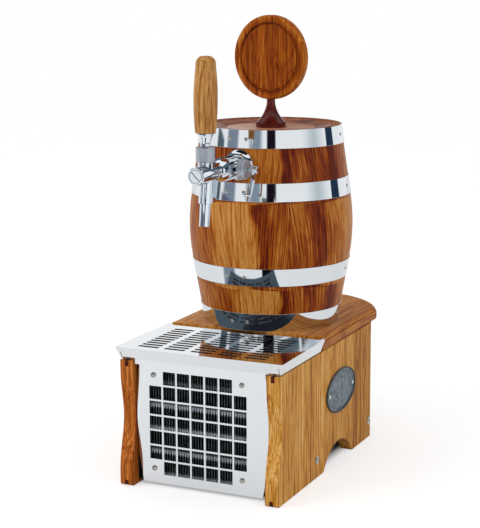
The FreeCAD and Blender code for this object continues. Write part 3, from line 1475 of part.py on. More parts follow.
def medallion_disc():
    """Disc with a grooved field on its front, turned a little on its foot."""
    front = V(0, BARREL_Y - DISC_THICKNESS / 2, DISC_Z)
    field = tapered(DISC_FIELD_RADIUS + DISC_FIELD_DEPTH, DISC_FIELD_RADIUS,
                    front, front + Y_AXIS * DISC_FIELD_DEPTH)
    deep = front + Y_AXIS * DISC_FIELD_DEPTH
    groove = rod(DISC_FIELD_RADIUS, deep, deep + Y_AXIS * DISC_GROOVE_DEPTH)
    groove = groove.cut(rod(DISC_FIELD_RADIUS - DISC_GROOVE, deep, deep + Y_AXIS * DISC_GROOVE_DEPTH))
    bore = rod(DOWEL_RADIUS, V(0, BARREL_Y, DISH_Z), V(0, BARREL_Y, DISH_Z + DISC_LIFT + DOWEL_LENGTH))
    disc = without(disc_blank(), [field.fuse(groove), bore])
    disc.rotate(V(0, BARREL_Y, 0), Z_AXIS, DISC_TURN)
    return disc


# ---------------------------------------------------------------- keg and cooling
def keg_well():
    """Steel well with a flange that carries the lid."""
    outer = WELL_RADIUS + WELL_SHEET
    return turned_upright(0, BARREL_Y, (0, WELL_BOTTOM), [
        line((outer, WELL_BOTTOM)),
        line((outer, WELL_FLANGE_TOP - WELL_SHEET)),
        line((outer + WELL_FLANGE, WELL_FLANGE_TOP - WELL_SHEET)),
        line((outer + WELL_FLANGE, WELL_FLANGE_TOP)),
        line((WELL_RADIUS, WELL_FLANGE_TOP)),
        line((WELL_RADIUS, WELL_BOTTOM + WELL_SHEET)),
        line((0, WELL_BOTTOM + WELL_SHEET)),
    ]).cut(shank_hole(SHANK_RADIUS + SHANK_HOLE_GAP))


def insulation():
    """Foam between the well and the staves, with a channel for the coil and its tails."""
    well = WELL_RADIUS + WELL_SHEET
    low = FLOOR_HEIGHT + FLOOR_THICKNESS + WOOD_GAP
    high = WELL_FLANGE_TOP - WELL_SHEET - BOARD_TOP
    gap = STAVE_THICKNESS + FOAM_GAP
    low_h = flank(BARREL_BOTTOM_RADIUS, 0)[1]
    top_h = flank(BARREL_TOP_RADIUS, BARREL_HEIGHT)[1]
    channel = well + 2 * (TUBE_RADIUS + FOAM_GAP)
    coil_low = BOARD_TOP + COIL_HEIGHT - TUBE_RADIUS - 1
    coil_high = BOARD_TOP + COIL_HEIGHT + (COIL_PASSES - 1) * COIL_PITCH + TUBE_RADIUS + 1
    foam = turned_upright(0, BARREL_Y, (well, BOARD_TOP + low), [
        line((barrel_radius(low) - gap, BOARD_TOP + low)),
        line((barrel_radius(low_h) - gap, BOARD_TOP + low_h)),
        arc((BARREL_BELLY_RADIUS - gap, BOARD_TOP + BELLY_HEIGHT),
            (barrel_radius(top_h) - gap, BOARD_TOP + top_h)),
        line((barrel_radius(high) - gap, BOARD_TOP + high)),
        line((well, BOARD_TOP + high)),
        line((well, coil_high)),
        line((channel, coil_high)),
        line((channel, coil_low)),
        line((well, coil_low)),
    ])
    tails = []
    for side in (-1, 1):
        x, y = coil_tail_xy(side)
        tails.append(rod(TUBE_RADIUS + 1, V(x, y, WELL_BOTTOM - 1), V(x, y, coil_low + 1)))
    return without(foam, tails + [shank_hole(SHANK_RADIUS + SHANK_HOLE_GAP)])


def coil_point(radius, angle, z):
    """Point on the coil, with the angle measured from the rear."""
    turn = math.radians(90 - angle)
    return V(radius * math.cos(turn), BARREL_Y + radius * math.sin(turn), z)


def cooling_coil():
    """Tube that runs to and fro round the well, with both tails down at the rear."""
    radius = WELL_RADIUS + WELL_SHEET + TUBE_RADIUS + FOAM_GAP
    gap = COIL_GAP_ANGLE
    base = BOARD_TOP + COIL_HEIGHT
    bend = COIL_PITCH / 2
    step = math.degrees(bend / radius)
    tail = coil_tail_xy(1)
    edges = []
    runs = []
    for i in range(COIL_PASSES):
        runs.append(base + i * COIL_PITCH)
    start = V(tail[0], tail[1], coil_tail_end(1).z)
    corner = coil_point(radius, gap / 3, runs[0] - bend)
    quarter = coil_point(radius, gap / 3 + step * 0.29, runs[0] - bend * 0.29)
    turn = coil_point(radius, gap / 3 + step, runs[0])
    edges.append(Part.LineSegment(start, corner).toShape())
    edges.append(Part.Arc(corner, quarter, turn).toShape())
    here_angle = gap / 3 + step
    side = 1
    for i, z in enumerate(runs):
        end_angle = 360 - gap if side > 0 else gap
        last = i == len(runs) - 1
        if last:
            end_angle = 360 - gap / 3 - step if side > 0 else step - gap / 3
        middle = (here_angle + end_angle) / 2
        edges.append(Part.Arc(coil_point(radius, here_angle, z), coil_point(radius, middle, z),
                              coil_point(radius, end_angle, z)).toShape())
        if last:
            break
        out = end_angle + side * step
        edges.append(Part.Arc(coil_point(radius, end_angle, z), coil_point(radius, out, z + bend),
                              coil_point(radius, end_angle, z + COIL_PITCH)).toShape())
        here_angle = end_angle
        side = -side
    z = runs[-1]
    tail = coil_tail_xy(-1)
    here = coil_point(radius, -gap / 3 + step, z)
    quarter = coil_point(radius, -gap / 3 + step * 0.29, z - bend * 0.29)
    down = coil_point(radius, -gap / 3, z - bend)
    edges.append(Part.Arc(here, quarter, down).toShape())
    edges.append(Part.LineSegment(down, V(tail[0], tail[1], coil_tail_end(-1).z)).toShape())
    return swept(Part.Wire(edges), TUBE_RADIUS)


def keg_bottom():
    """Height of the keg's underside on the well's floor."""
    return WELL_BOTTOM + WELL_SHEET


def keg_top():
    """Height of the keg's mouth."""
    return keg_bottom() + KEG_HEIGHT + KEG_NECK_HEIGHT


def mini_keg():
    """Thin steel keg with rounded ends and an open mouth."""
    low = keg_bottom()
    high = low + KEG_HEIGHT
    bend = KEG_SHOULDER
    corner = bend * (1 - math.sqrt(0.5))
    wall = KEG_WALL
    return turned_upright(0, BARREL_Y, (0, low), [
        line((KEG_RADIUS - bend, low)),
        arc((KEG_RADIUS - corner, low + corner), (KEG_RADIUS, low + bend)),
        line((KEG_RADIUS, high - bend)),
        arc((KEG_RADIUS - corner, high - corner), (KEG_RADIUS - bend, high)),
        line((KEG_NECK_RADIUS, high)),
        line((KEG_NECK_RADIUS, keg_top())),
        line((KEG_MOUTH_RADIUS, keg_top())),
        line((KEG_MOUTH_RADIUS, high - wall)),
        line((KEG_RADIUS - bend, high - wall)),
        arc((KEG_RADIUS - corner - wall * 0.7, high - corner - wall * 0.7),
            (KEG_RADIUS - wall, high - bend)),
        line((KEG_RADIUS - wall, low + bend)),
        arc((KEG_RADIUS - corner - wall * 0.7, low + corner + wall * 0.7), (KEG_RADIUS - bend, low + wall)),
        line((0, low + wall)),
    ])


def coupler_outlet_z():
    """Height of the coupler's beer outlet."""
    return keg_top() + COUPLER_HEIGHT - 12


def keg_coupler():
    """Tapping head on the keg's mouth, with its dip tube and a forward outlet."""
    top = keg_top()
    flange = rod(COUPLER_RADIUS, V(0, BARREL_Y, top), V(0, BARREL_Y, top + 5))
    body = rod(12, V(0, BARREL_Y, top), V(0, BARREL_Y, top + COUPLER_HEIGHT))
    plug = rod(KEG_MOUTH_RADIUS - WOOD_GAP, V(0, BARREL_Y, top - KEG_NECK_HEIGHT), V(0, BARREL_Y, top + 1))
    dip = rod(DIP_TUBE_RADIUS, V(0, BARREL_Y, keg_bottom() + 8), V(0, BARREL_Y, top))
    z = coupler_outlet_z()
    outlet = rod(HOSE_BORE, V(0, BARREL_Y, z), V(0, BARREL_Y - OUTLET_REACH, z))
    shoulder = rod(HOSE_RADIUS, V(0, BARREL_Y, z), V(0, BARREL_Y - OUTLET_REACH + 8, z))
    return joined([flange, body, plug, dip, outlet, shoulder])


def beer_line():
    """Hose from the coupler to the tail of the shank."""
    z = coupler_outlet_z()
    start = V(0, BARREL_Y - OUTLET_REACH + 8, z)
    end = V(0, tap(SHANK_END), TAP_Z)
    path = bent_path([start, V(0, start.y - 14, z), V(0, end.y + 14, TAP_Z), end], 14.0)
    hose = swept(path, HOSE_RADIUS)
    return hose.cut(swept(path, HOSE_BORE))


# ---------------------------------------------------------------- tap
def tap_shank():
    """Tube through the barrel wall."""
    return rod(SHANK_RADIUS, V(0, tap(TAP_TAIL), TAP_Z), V(0, tap(SHANK_END), TAP_Z)).cut(
        rod(SHANK_BORE, V(0, tap(TAP_TAIL) - 1, TAP_Z), V(0, tap(SHANK_END) + 1, TAP_Z)))


def shank_nut():
    """Nut that pulls the shank against the well's wall."""
    face_y = BARREL_Y - math.sqrt(WELL_RADIUS ** 2 - NUT_RADIUS ** 2) + 0.1
    start = V(0, face_y, TAP_Z)
    blank = rod(NUT_RADIUS, start, start + Y_AXIS * NUT_LENGTH)
    flats = []
    for turn in range(6):
        flat = box(V(NUT_RADIUS * 0.9, -1, -NUT_RADIUS), V(NUT_RADIUS * 2, NUT_LENGTH + 1, NUT_RADIUS))
        flat.rotate(V(0, 0, 0), Y_AXIS, 60 * turn)
        flat.translate(start)
        flats.append(flat)
    return without(blank, flats + [rod(SHANK_RADIUS, start - Y_AXIS, start + Y_AXIS * (NUT_LENGTH + 1))])


def tap_rosette():
    """Domed rosette whose back is shaped to the barrel."""
    front = tap(TAP_TAIL)
    rear = tap(TAP_TAIL) + 30
    dome = turned_forward(TAP_Z, (front, SHANK_RADIUS), [
        line((front, TAP_BODY_RADIUS)),
        arc((front + ROSETTE_DOME * 0.25, ROSETTE_RADIUS * 0.82), (front + ROSETTE_DOME, ROSETTE_RADIUS)),
        line((rear, ROSETTE_RADIUS)),
        line((rear, SHANK_RADIUS)),
    ])
    return dome.cut(barrel_block())


def valve_path():
    """Bores of the tap: piston bore, seat, chamber and shank inlet."""
    nose = tap(TAP_NOSE)
    return [
        rod(FRONT_BORE, V(0, nose + CAP_THICKNESS - 0.01, TAP_Z), V(0, tap(SEAT_FRONT), TAP_Z)),
        rod(SEAT_BORE, V(0, tap(SEAT_FRONT) - 1, TAP_Z), V(0, tap(SEAT_REAR) + 1, TAP_Z)),
        rod(CHAMBER_BORE, V(0, tap(SEAT_REAR), TAP_Z), V(0, tap(CHAMBER_REAR), TAP_Z)),
        rod(SHANK_BORE, V(0, tap(CHAMBER_REAR) - 1, TAP_Z), V(0, tap(TAP_TAIL) + 1, TAP_Z)),
    ]


def spout_axis(drop):
    """Point on the tilted spout axis at a depth under the tap's axis."""
    return V(0, tap(SPOUT_BACK) - drop * math.tan(math.radians(SPOUT_TILT)), TAP_Z - drop)


def stadium(centre, radius, depth):
    """Level outline with a round front and a round rear that lies deeper."""
    x = radius
    y = centre.y
    rear = y + depth
    return outline(facing_up(centre.z), (-x, y), [
        arc((0, y - radius), (x, y)),
        line((x, rear)),
        arc((0, rear + radius), (-x, rear)),
    ]).OuterWire


def spout_block():
    """Tapered block that carries the nozzle under the body."""
    top = stadium(spout_axis(0), SPOUT_RADIUS, SPOUT_TOP_DEPTH)
    bottom = stadium(spout_axis(SPOUT_DROP), SPOUT_RADIUS, SPOUT_BOTTOM_DEPTH)
    return Part.makeLoft([bottom, top], True)


def tap_body():
    """Chromed body with valve housing, spout block, compensator chamber and side boss."""
    nose = tap(TAP_NOSE)
    barrel = turned_forward(TAP_Z, (nose + 1.0, 0), [
        line((nose + 1.0, TAP_BODY_RADIUS - 0.8)),
        line((nose + 2.2, TAP_BODY_RADIUS)),
        line((tap(WAIST_FRONT), TAP_BODY_RADIUS)),
        arc((tap(WAIST_FRONT + 8), NECK_RADIUS + 0.6), (tap(WAIST_REAR), NECK_RADIUS + 1.6)),
        arc((tap(WAIST_REAR + 10), CHAMBER_RADIUS - 1.6), (tap(CHAMBER_FRONT), CHAMBER_RADIUS)),
        line((tap(CHAMBER_SHOULDER), CHAMBER_RADIUS)),
        arc((tap(CHAMBER_SHOULDER + 9), CHAMBER_RADIUS - 2.4),
            (tap(CHAMBER_SHOULDER + 12), TAP_BODY_RADIUS + 0.6)),
        line((tap(TAP_TAIL), TAP_BODY_RADIUS)),
        line((tap(TAP_TAIL), 0)),
    ])
    housing = rod(HOUSING_RADIUS, V(0, HANDLE_Y, TAP_Z), V(0, HANDLE_Y, TAP_Z + HOUSING_TOP))
    boss = rod(BOSS_RADIUS, V(0, COMPENSATOR_Y, TAP_Z), V(BOSS_REACH, COMPENSATOR_Y, TAP_Z))
    solid = joined([barrel, housing, spout_block(), boss])
    cap_seat = rod(CAP_RADIUS + 0.02, V(0, nose - 1, TAP_Z), V(0, nose + CAP_THICKNESS, TAP_Z))
    half = LEVER_TIP_RADIUS + TIP_SLOT_GAP
    reach = PIVOT_RISE * math.sin(math.radians(HANDLE_TRAVEL)) + half
    slot_top = PIVOT_RISE / 2
    lever_slot = outline(facing_side(-half), (HANDLE_Y - half, TAP_Z), [
        line((HANDLE_Y + reach, TAP_Z)),
        line((HANDLE_Y + BALL_RADIUS, TAP_Z + slot_top)),
        line((HANDLE_Y - half, TAP_Z + slot_top)),
    ]).extrude(V(2 * half, 0, 0))
    ball_bore = rod(BALL_RADIUS + BALL_GAP, V(0, HANDLE_Y, TAP_Z + FRONT_BORE + 1),
                    V(0, HANDLE_Y, TAP_Z + HOUSING_TOP + 1))
    outlet = rod(NOZZLE_BORE, spout_axis(0), spout_axis(SPOUT_DROP + 1))
    socket = rod(NOZZLE_RADIUS, spout_axis(SPOUT_DROP - NOZZLE_SEAT), spout_axis(SPOUT_DROP + 3))
    spindle = rod(SPINDLE_RADIUS + RUNNING_GAP, V(0, COMPENSATOR_Y, TAP_Z),
                  V(BOSS_REACH + 1, COMPENSATOR_Y, TAP_Z))
    return without(solid, valve_path() + [cap_seat, lever_slot, ball_bore, outlet, socket, spindle])


def tap_front_cap():
    """Screwed front cap with a ring groove and a screwdriver slot."""
    nose = tap(TAP_NOSE)
    cap = rod(CAP_RADIUS, V(0, nose, TAP_Z), V(0, nose + CAP_THICKNESS, TAP_Z))
    groove = rod(CAP_RADIUS - 1.6, V(0, nose - 1, TAP_Z), V(0, nose + 0.8, TAP_Z))
    groove = groove.cut(rod(CAP_RADIUS - 2.4, V(0, nose - 1, TAP_Z), V(0, nose + 0.8, TAP_Z)))
    slot = box(V(-CAP_RADIUS + 2.4, nose - 1, -CAP_SLOT / 2), V(CAP_RADIUS - 2.4, nose + 1.2, CAP_SLOT / 2))
    slot.rotate(V(0, 0, 0), Y_AXIS, CAP_SLOT_ANGLE)
    slot.translate(V(0, 0, TAP_Z))
    return without(cap, [groove, slot])


def handle_collar():
    """Nut over the housing whose lip holds the lever's ball."""
    low = TAP_Z + HOUSING_TOP
    top = low + COLLAR_HEIGHT
    bore = BALL_RADIUS + BALL_GAP
    return turned_upright(0, HANDLE_Y, (bore, low), [
        line((COLLAR_RADIUS - 0.8, low)),
        line((COLLAR_RADIUS, low + 0.8)),
        line((COLLAR_RADIUS, top - 1.0)),
        line((COLLAR_MOUTH_RADIUS, top)),
        line((COLLAR_LIP_RADIUS, PIVOT_Z + 4.3)),
        line((bore, PIVOT_Z + 2.0)),
    ])


def leaned(shape):
    """Upper part of the handle, leaned back a little about its pivot."""
    shape.rotate(V(0, HANDLE_Y, PIVOT_Z), X_AXIS, HANDLE_LEAN)
    return shape


def handle_foot_z():
    """Height of the wooden handle's lower end before it is leaned."""
    return TAP_Z + FERRULE_RISE + FERRULE_HEIGHT


def ferrule_profile():
    """Flared sleeve between the collar and the wooden handle, with a stud in the handle."""
    low = TAP_Z + FERRULE_RISE
    top = handle_foot_z()
    flare_r = FERRULE_BOTTOM_RADIUS + (FERRULE_TOP_RADIUS - FERRULE_BOTTOM_RADIUS) * 0.34
    return turned_upright(0, HANDLE_Y, (0, low), [
        line((FERRULE_BOTTOM_RADIUS, low)),
        line((FERRULE_BOTTOM_RADIUS, low + 2)),
        arc((flare_r, low + FERRULE_HEIGHT * 0.6), (FERRULE_TOP_RADIUS, top - 2)),
        line((FERRULE_TOP_RADIUS, top)),
        line((STUD_RADIUS, top)),
        line((STUD_RADIUS, top + STUD_LENGTH)),
        line((0, top + STUD_LENGTH)),
    ])


def handle_lever():
    """Ball lever: tip in the piston's yoke, arm, ball, stem and flared ferrule."""
    pivot = V(0, HANDLE_Y, PIVOT_Z)
    tip = V(0, HANDLE_Y, TAP_Z)
    ball = Part.makeSphere(BALL_RADIUS, pivot)
    arm = rod(LEVER_ARM_RADIUS, tip, pivot)
    end = Part.makeSphere(LEVER_TIP_RADIUS, tip)
    stem = rod(STEM_RADIUS, pivot, V(0, HANDLE_Y, TAP_Z + FERRULE_RISE + 1))
    upper = leaned(stem.fuse(ferrule_profile()))
    return joined([ball, arm, end, upper])


def tap_handle():
    """Turned wooden handle, fullest a little under its middle."""
    low = handle_foot_z()
    top = low + HANDLE_LENGTH
    shoulder = top - HANDLE_DOME
    crown = top - 0.9
    quarter_r = HANDLE_BELLY_RADIUS - (HANDLE_BELLY_RADIUS - HANDLE_BOTTOM_RADIUS) * 0.27
    upper_r = HANDLE_BELLY_RADIUS - (HANDLE_BELLY_RADIUS - HANDLE_TOP_RADIUS) * 0.27
    belly = low + HANDLE_BELLY_HEIGHT
    handle = turned_upright(0, HANDLE_Y, (0, low), [
        line((HANDLE_BOTTOM_RADIUS - 0.8, low)),
        line((HANDLE_BOTTOM_RADIUS, low + 0.8)),
        arc((quarter_r, low + HANDLE_BELLY_HEIGHT * 0.48), (HANDLE_BELLY_RADIUS, belly)),
        arc((upper_r, belly + (shoulder - belly) * 0.52), (HANDLE_TOP_RADIUS, shoulder)),
        arc((HANDLE_TOP_RADIUS - 2.2, shoulder + HANDLE_DOME * 0.66), (HANDLE_CROWN_RADIUS, crown)),
        dome(HANDLE_CROWN_RADIUS, crown, top),
    ])
    bore = rod(STUD_RADIUS, V(0, HANDLE_Y, low - 1), V(0, HANDLE_Y, low + STUD_LENGTH))
    return leaned(handle.cut(bore))


def valve_piston():
    """Rod with a front guide and a yoke that the lever's tip moves."""
    front = tap(TAP_NOSE) + CAP_THICKNESS + 3
    rear = tap(SEAT_REAR) + 0.3 + SEAL_THICKNESS
    guide = rod(FRONT_BORE - BALL_GAP, V(0, front, TAP_Z), V(0, front + GUIDE_LENGTH, TAP_Z))
    body = rod(PISTON_RADIUS, V(0, front, TAP_Z), V(0, rear, TAP_Z))
    yoke = box(V(-YOKE_HALF, HANDLE_Y - YOKE_LENGTH / 2, TAP_Z - 6),
               V(YOKE_HALF, HANDLE_Y + YOKE_LENGTH / 2, TAP_Z + 4.5))
    half = LEVER_TIP_RADIUS + TIP_SLOT_GAP
    slot = box(V(-LEVER_TIP_RADIUS - 0.4, HANDLE_Y - half, TAP_Z - LEVER_TIP_RADIUS - 0.6),
               V(LEVER_TIP_RADIUS + 0.4, HANDLE_Y + half, TAP_Z + 9))
    return joined([guide, body, yoke]).cut(slot)


def valve_seal():
    """Rubber washer on the piston's end that closes the seat."""
    front = V(0, tap(SEAT_REAR) + 0.3, TAP_Z)
    washer = rod(SEAL_RADIUS, front, front + Y_AXIS * SEAL_THICKNESS)
    return washer.cut(rod(PISTON_RADIUS, front - Y_AXIS, front + Y_AXIS * (SEAL_THICKNESS + 1)))


def spout_nozzle():
    """Tapered outlet tube in the spout block."""
    top = spout_axis(SPOUT_DROP - NOZZLE_SEAT)
    foot = spout_axis(SPOUT_DROP + NOZZLE_LENGTH * math.cos(math.radians(SPOUT_TILT)))
    seat = spout_axis(SPOUT_DROP)
    upper = rod(NOZZLE_RADIUS, top, seat)
    lower = tapered(NOZZLE_RADIUS, NOZZLE_TIP_RADIUS, seat, foot)
    bore = rod(NOZZLE_BORE, top + (top - foot).normalize(), foot - (top - foot).normalize())
    return joined([upper, lower]).cut(bore)


def compensator_nut():
    """Gland nut on the side boss, with a plain end ring."""
    start = BOSS_REACH
    nut = rod(KNOB_NUT_RADIUS, V(start, COMPENSATOR_Y, TAP_Z),
              V(start + KNOB_NUT_LENGTH, COMPENSATOR_Y, TAP_Z))
    nut = nut.makeChamfer(1.2, [e for e in nut.Edges if e.Closed])
    end = start + KNOB_NUT_LENGTH
    ring = rod(KNOB_RING_RADIUS, V(end - 1, COMPENSATOR_Y, TAP_Z),
               V(end + KNOB_RING_LENGTH, COMPENSATOR_Y, TAP_Z))
    bore = rod(SPINDLE_RADIUS + RUNNING_GAP, V(0, COMPENSATOR_Y, TAP_Z), V(end + 5, COMPENSATOR_Y, TAP_Z))
    return nut.fuse(ring).cut(bore)


def crank_throw():
    """Offset of the crank pin from the spindle's axis at rest."""
    phase = math.radians(CRANK_PHASE)
    return V(0, -math.sin(phase) * CRANK_THROW, math.cos(phase) * CRANK_THROW)


def compensator_lever():
    """Spindle with a crank pin inside and a flat lever with a peg outside."""
    axis = V(0, COMPENSATOR_Y, TAP_Z)
    outer = LEVER_BOSS_START + LEVER_BOSS_LENGTH
    spindle = rod(SPINDLE_RADIUS, axis + X_AXIS * SPINDLE_INNER, axis + X_AXIS * LEVER_BOSS_START)
    boss = rod(LEVER_BOSS_RADIUS, axis + X_AXIS * LEVER_BOSS_START, axis + X_AXIS * outer)
    boss = boss.makeFillet(1.2, [e for e in boss.Edges if e.Closed])
    half = LEVER_BOSS_RADIUS - 1
    arm = outline(facing_side(LEVER_BOSS_START + 2), (-half, 0), [
        line((-LEVER_TIP_HALF, -LEVER_LENGTH)),
        arc((0, -LEVER_LENGTH - LEVER_TIP_HALF), (LEVER_TIP_HALF, -LEVER_LENGTH)),
        line((half, 0)),
    ]).extrude(V(LEVER_THICKNESS, 0, 0))
    peg = rod(LEVER_TIP_HALF, V(LEVER_BOSS_START + 3 - LEVER_PEG, 0, -LEVER_LENGTH),
              V(LEVER_BOSS_START + 3, 0, -LEVER_LENGTH))
    grip = arm.fuse(peg)
    grip.rotate(V(0, 0, 0), X_AXIS, -LEVER_FORWARD)
    grip.translate(axis)
    throw = crank_throw()
    crank_start = axis + throw + X_AXIS * (SPINDLE_INNER - 6)
    cheek = rod(CRANK_THROW + CRANK_RADIUS + 0.6, axis + X_AXIS * SPINDLE_INNER,
                axis + X_AXIS * (SPINDLE_INNER + 2))
    crank = rod(CRANK_RADIUS, crank_start, axis + throw + X_AXIS * (SPINDLE_INNER + 1))
    return joined([spindle, boss, grip, cheek, crank])


def compensator_cone():
    """Flow cone with an upright slot that the crank pin moves."""
    body = tapered(CONE_FRONT_RADIUS, CONE_REAR_RADIUS, V(0, tap(CONE_FRONT), TAP_Z),
                   V(0, tap(CONE_REAR), TAP_Z))
    pin_y = COMPENSATOR_Y + crank_throw().y
    half = CRANK_RADIUS + CRANK_SLOT_GAP
    slot = box(V(1.5, pin_y - half, TAP_Z - 20), V(30, pin_y + half, TAP_Z + 20))
    flat = box(V(SPINDLE_INNER - 0.6, tap(CONE_FRONT) - 1, TAP_Z - 20),
               V(30, tap(CONE_REAR) + 1, TAP_Z + 20))
    return without(body, [slot, flat])


# ---------------------------------------------------------------- all nodes
def build():
    """Every node and its solid."""
    right = right_panel()
    keys = right_keys(0)
    heights = hoop_heights()
    nodes = {
        "side_panel_right": right,
        "side_panel_left": mirrored(right),
        "panel_keys": group(keys + [mirrored(k) for k in keys]),
        "rear_wall": rear_wall(),
        "top_board": top_board(),
        "front_plate": front_plate(),
        "plate_screws": plate_screws(),
        "chassis_pan": chassis_pan(),
        "side_screws": side_screws(),
        "condenser_fins": condenser_fins(),
        "condenser_tubes": condenser_tubes(),
        "fan_shroud": fan_shroud(),
        "fan_motor": fan_motor(),
        "fan_rotor": fan_rotor(),
        "compressor": compressor(),
        "compressor_mounts": compressor_mounts(),
        "refrigerant_lines": refrigerant_lines(),
        "filter_drier": filter_drier(),
        "service_panel": service_panel(),
        "service_screws": service_screws(),
        "thermostat": thermostat(),
        "thermostat_knob": thermostat_knob(),
        "switch_housing": switch_housing(),
        "switch_rocker": switch_rocker(),
        "mains_inlet": mains_inlet(),
        "badge_plate": badge_plate(),
        "badge_rivets": badge_rivets(),
        "drip_tray_cover": drip_tray_cover(),
        "drip_pan": drip_pan(),
        "barrel_staves": barrel_staves(),
        "hoop_rivets": hoop_rivets(),
        "barrel_floor": barrel_floor(),
        "barrel_lid": barrel_lid(),
        "medallion_foot": medallion_foot(),
        "medallion_disc": medallion_disc(),
        "keg_well": keg_well(),
        "insulation": insulation(),
        "cooling_coil": cooling_coil(),
        "mini_keg": mini_keg(),
        "keg_coupler": keg_coupler(),
        "beer_line": beer_line(),
        "tap_shank": tap_shank(),
        "shank_nut": shank_nut(),
        "tap_rosette": tap_rosette(),
        "tap_body": tap_body(),
        "tap_front_cap": tap_front_cap(),
        "handle_collar": handle_collar(),
        "handle_lever": handle_lever(),
        "tap_handle": tap_handle(),
        "valve_piston": valve_piston(),
        "valve_seal": valve_seal(),
        "spout_nozzle": spout_nozzle(),
        "compensator_nut": compensator_nut(),
        "compensator_lever": compensator_lever(),
        "compensator_cone": compensator_cone(),
    }
    for number, low in enumerate(heights, 1):
        nodes["hoop_%d" % number] = hoop(low)
    return nodes


def main():
    """Build all nodes and write one file for each."""
    os.makedirs("parts", exist_ok=True)
    for name, shape in build().items():
        export(name, shape)


main()
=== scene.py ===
"""Looks of a mini keg beer dispenser: oak base and barrel, mirror steel hoops and a chromed tap."""

import logging
import math
from collections.abc import Sequence
from dataclasses import dataclass
from enum import Enum
from typing import ClassVar

import bpy
from mathutils import Matrix, Vector


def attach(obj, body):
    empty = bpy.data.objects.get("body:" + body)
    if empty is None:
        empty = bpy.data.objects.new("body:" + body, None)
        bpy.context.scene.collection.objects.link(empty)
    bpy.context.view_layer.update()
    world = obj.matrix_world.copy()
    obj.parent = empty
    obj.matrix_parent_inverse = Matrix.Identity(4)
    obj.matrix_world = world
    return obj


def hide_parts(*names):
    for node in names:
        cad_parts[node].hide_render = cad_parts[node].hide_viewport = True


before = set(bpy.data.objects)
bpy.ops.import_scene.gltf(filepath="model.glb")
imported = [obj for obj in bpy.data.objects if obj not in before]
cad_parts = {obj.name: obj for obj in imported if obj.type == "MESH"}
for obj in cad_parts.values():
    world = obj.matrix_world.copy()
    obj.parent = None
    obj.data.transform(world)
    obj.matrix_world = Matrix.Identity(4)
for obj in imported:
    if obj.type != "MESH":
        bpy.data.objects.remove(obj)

LOG = logging.getLogger("dispenser")
Node = bpy.types.Node
Piece = bpy.types.Object
Socket = bpy.types.NodeSocket
Tree = bpy.types.NodeTree
Profile = Sequence[tuple[float, float]]
Spot = tuple[float, float, float]
Stops = tuple[tuple[float, str | float], ...]

MM = 0.001
# What the barrel's wall and its finish share, in millimetres and degrees.
BARREL_Y = 26.7
BARREL_FOOT = 221.4
STAVES = 16
FIRST_JOINT = -8.8
TAP_Z = 486.0


# ---------------------------------------------------------------- colours and nodes
def linear(code: str) -> tuple[float, float, float, float]:
    """Turns an sRGB hex colour into linear light.

    Args:
        code: a hash and six hex digits.

    Returns:
        Linear red, green and blue, and an alpha of one.
    """
    parts = [int(code[i:i + 2], 16) / 255 for i in (1, 3, 5)]
    red, green, blue = (p / 12.92 if p <= 0.04045 else ((p + 0.055) / 1.055) ** 2.4 for p in parts)
    return red, green, blue, 1.0


def wire(node: Node, links: dict | tuple) -> None:
    """Fills in a node's inputs.

    Args:
        node: node that gets them.
        links: socket to link or value to set for each input, by its name or number, or in order.
    """
    for key, value in enumerate(links) if isinstance(links, tuple) else links.items():
        if isinstance(value, Socket):
            node.id_data.links.new(value, node.inputs[key])
        else:
            node.inputs[key].default_value = value


def add(tree: Tree, kind: str, links: dict | tuple = (), stops: Stops = (), out: int = 0,
        **settings: object) -> Socket:
    """Adds a node with its settings and links.

    Args:
        tree: node tree that gets the node.
        kind: name of the node type, without its first word.
        links: what its inputs are linked or set to.
        stops: place of each stop of a ramp against a hex colour or a grey level.
        out: number of the output to give back.
        settings: properties of the node.

    Returns:
        One output of the new node.
    """
    node = tree.nodes.new("ShaderNode" + kind)
    for key, value in settings.items():
        setattr(node, key, value)
    if stops:
        elements = node.color_ramp.elements
        elements[0].position = stops[0][0]
        elements[1].position = stops[-1][0]
        for place, _ in stops[1:-1]:
            elements.new(place)
        for element, (_, shade) in zip(elements, stops):
            element.color = linear(shade) if isinstance(shade, str) else (shade, shade, shade, 1.0)
    wire(node, links)
    return node.outputs[out]


def azimuth(tree: Tree, place: Socket) -> tuple[Socket, Socket]:
    """Gives the way to a place from the origin.

    Args:
        tree: node tree of the material.
        place: the place.

    Returns:
        Its azimuth in degrees from the front, and its height.
    """
    parts = add(tree, "SeparateXYZ", (place,)).node.outputs
    front = add(tree, "Math", (parts[1], -1.0), operation="MULTIPLY")
    angle = add(tree, "Math", (parts[0], front), operation="ARCTAN2")
    return add(tree, "Math", (angle,), operation="DEGREES"), parts[2]


def seen(tree: Tree) -> Socket:
    """Tells the camera's and the mirrors' rays from those that light the object.

    Args:
        tree: node tree of a material or of the world.

    Returns:
        One for the camera's and the mirrors' rays, nought for the rest.
    """
    path = add(tree, "LightPath").node.outputs
    direct = add(tree, "Math", (path["Is Camera Ray"], path["Is Glossy Ray"]), operation="MAXIMUM")
    return add(tree, "Math", (direct, path["Is Transmission Ray"]), operation="MAXIMUM")


# ---------------------------------------------------------------- finishes
class Grain(Enum):
    """Direction of fibres, of brushed marks or of a turning axis."""

    SIDEWAYS = 0
    BACKWARD = 1
    UPRIGHT = 2


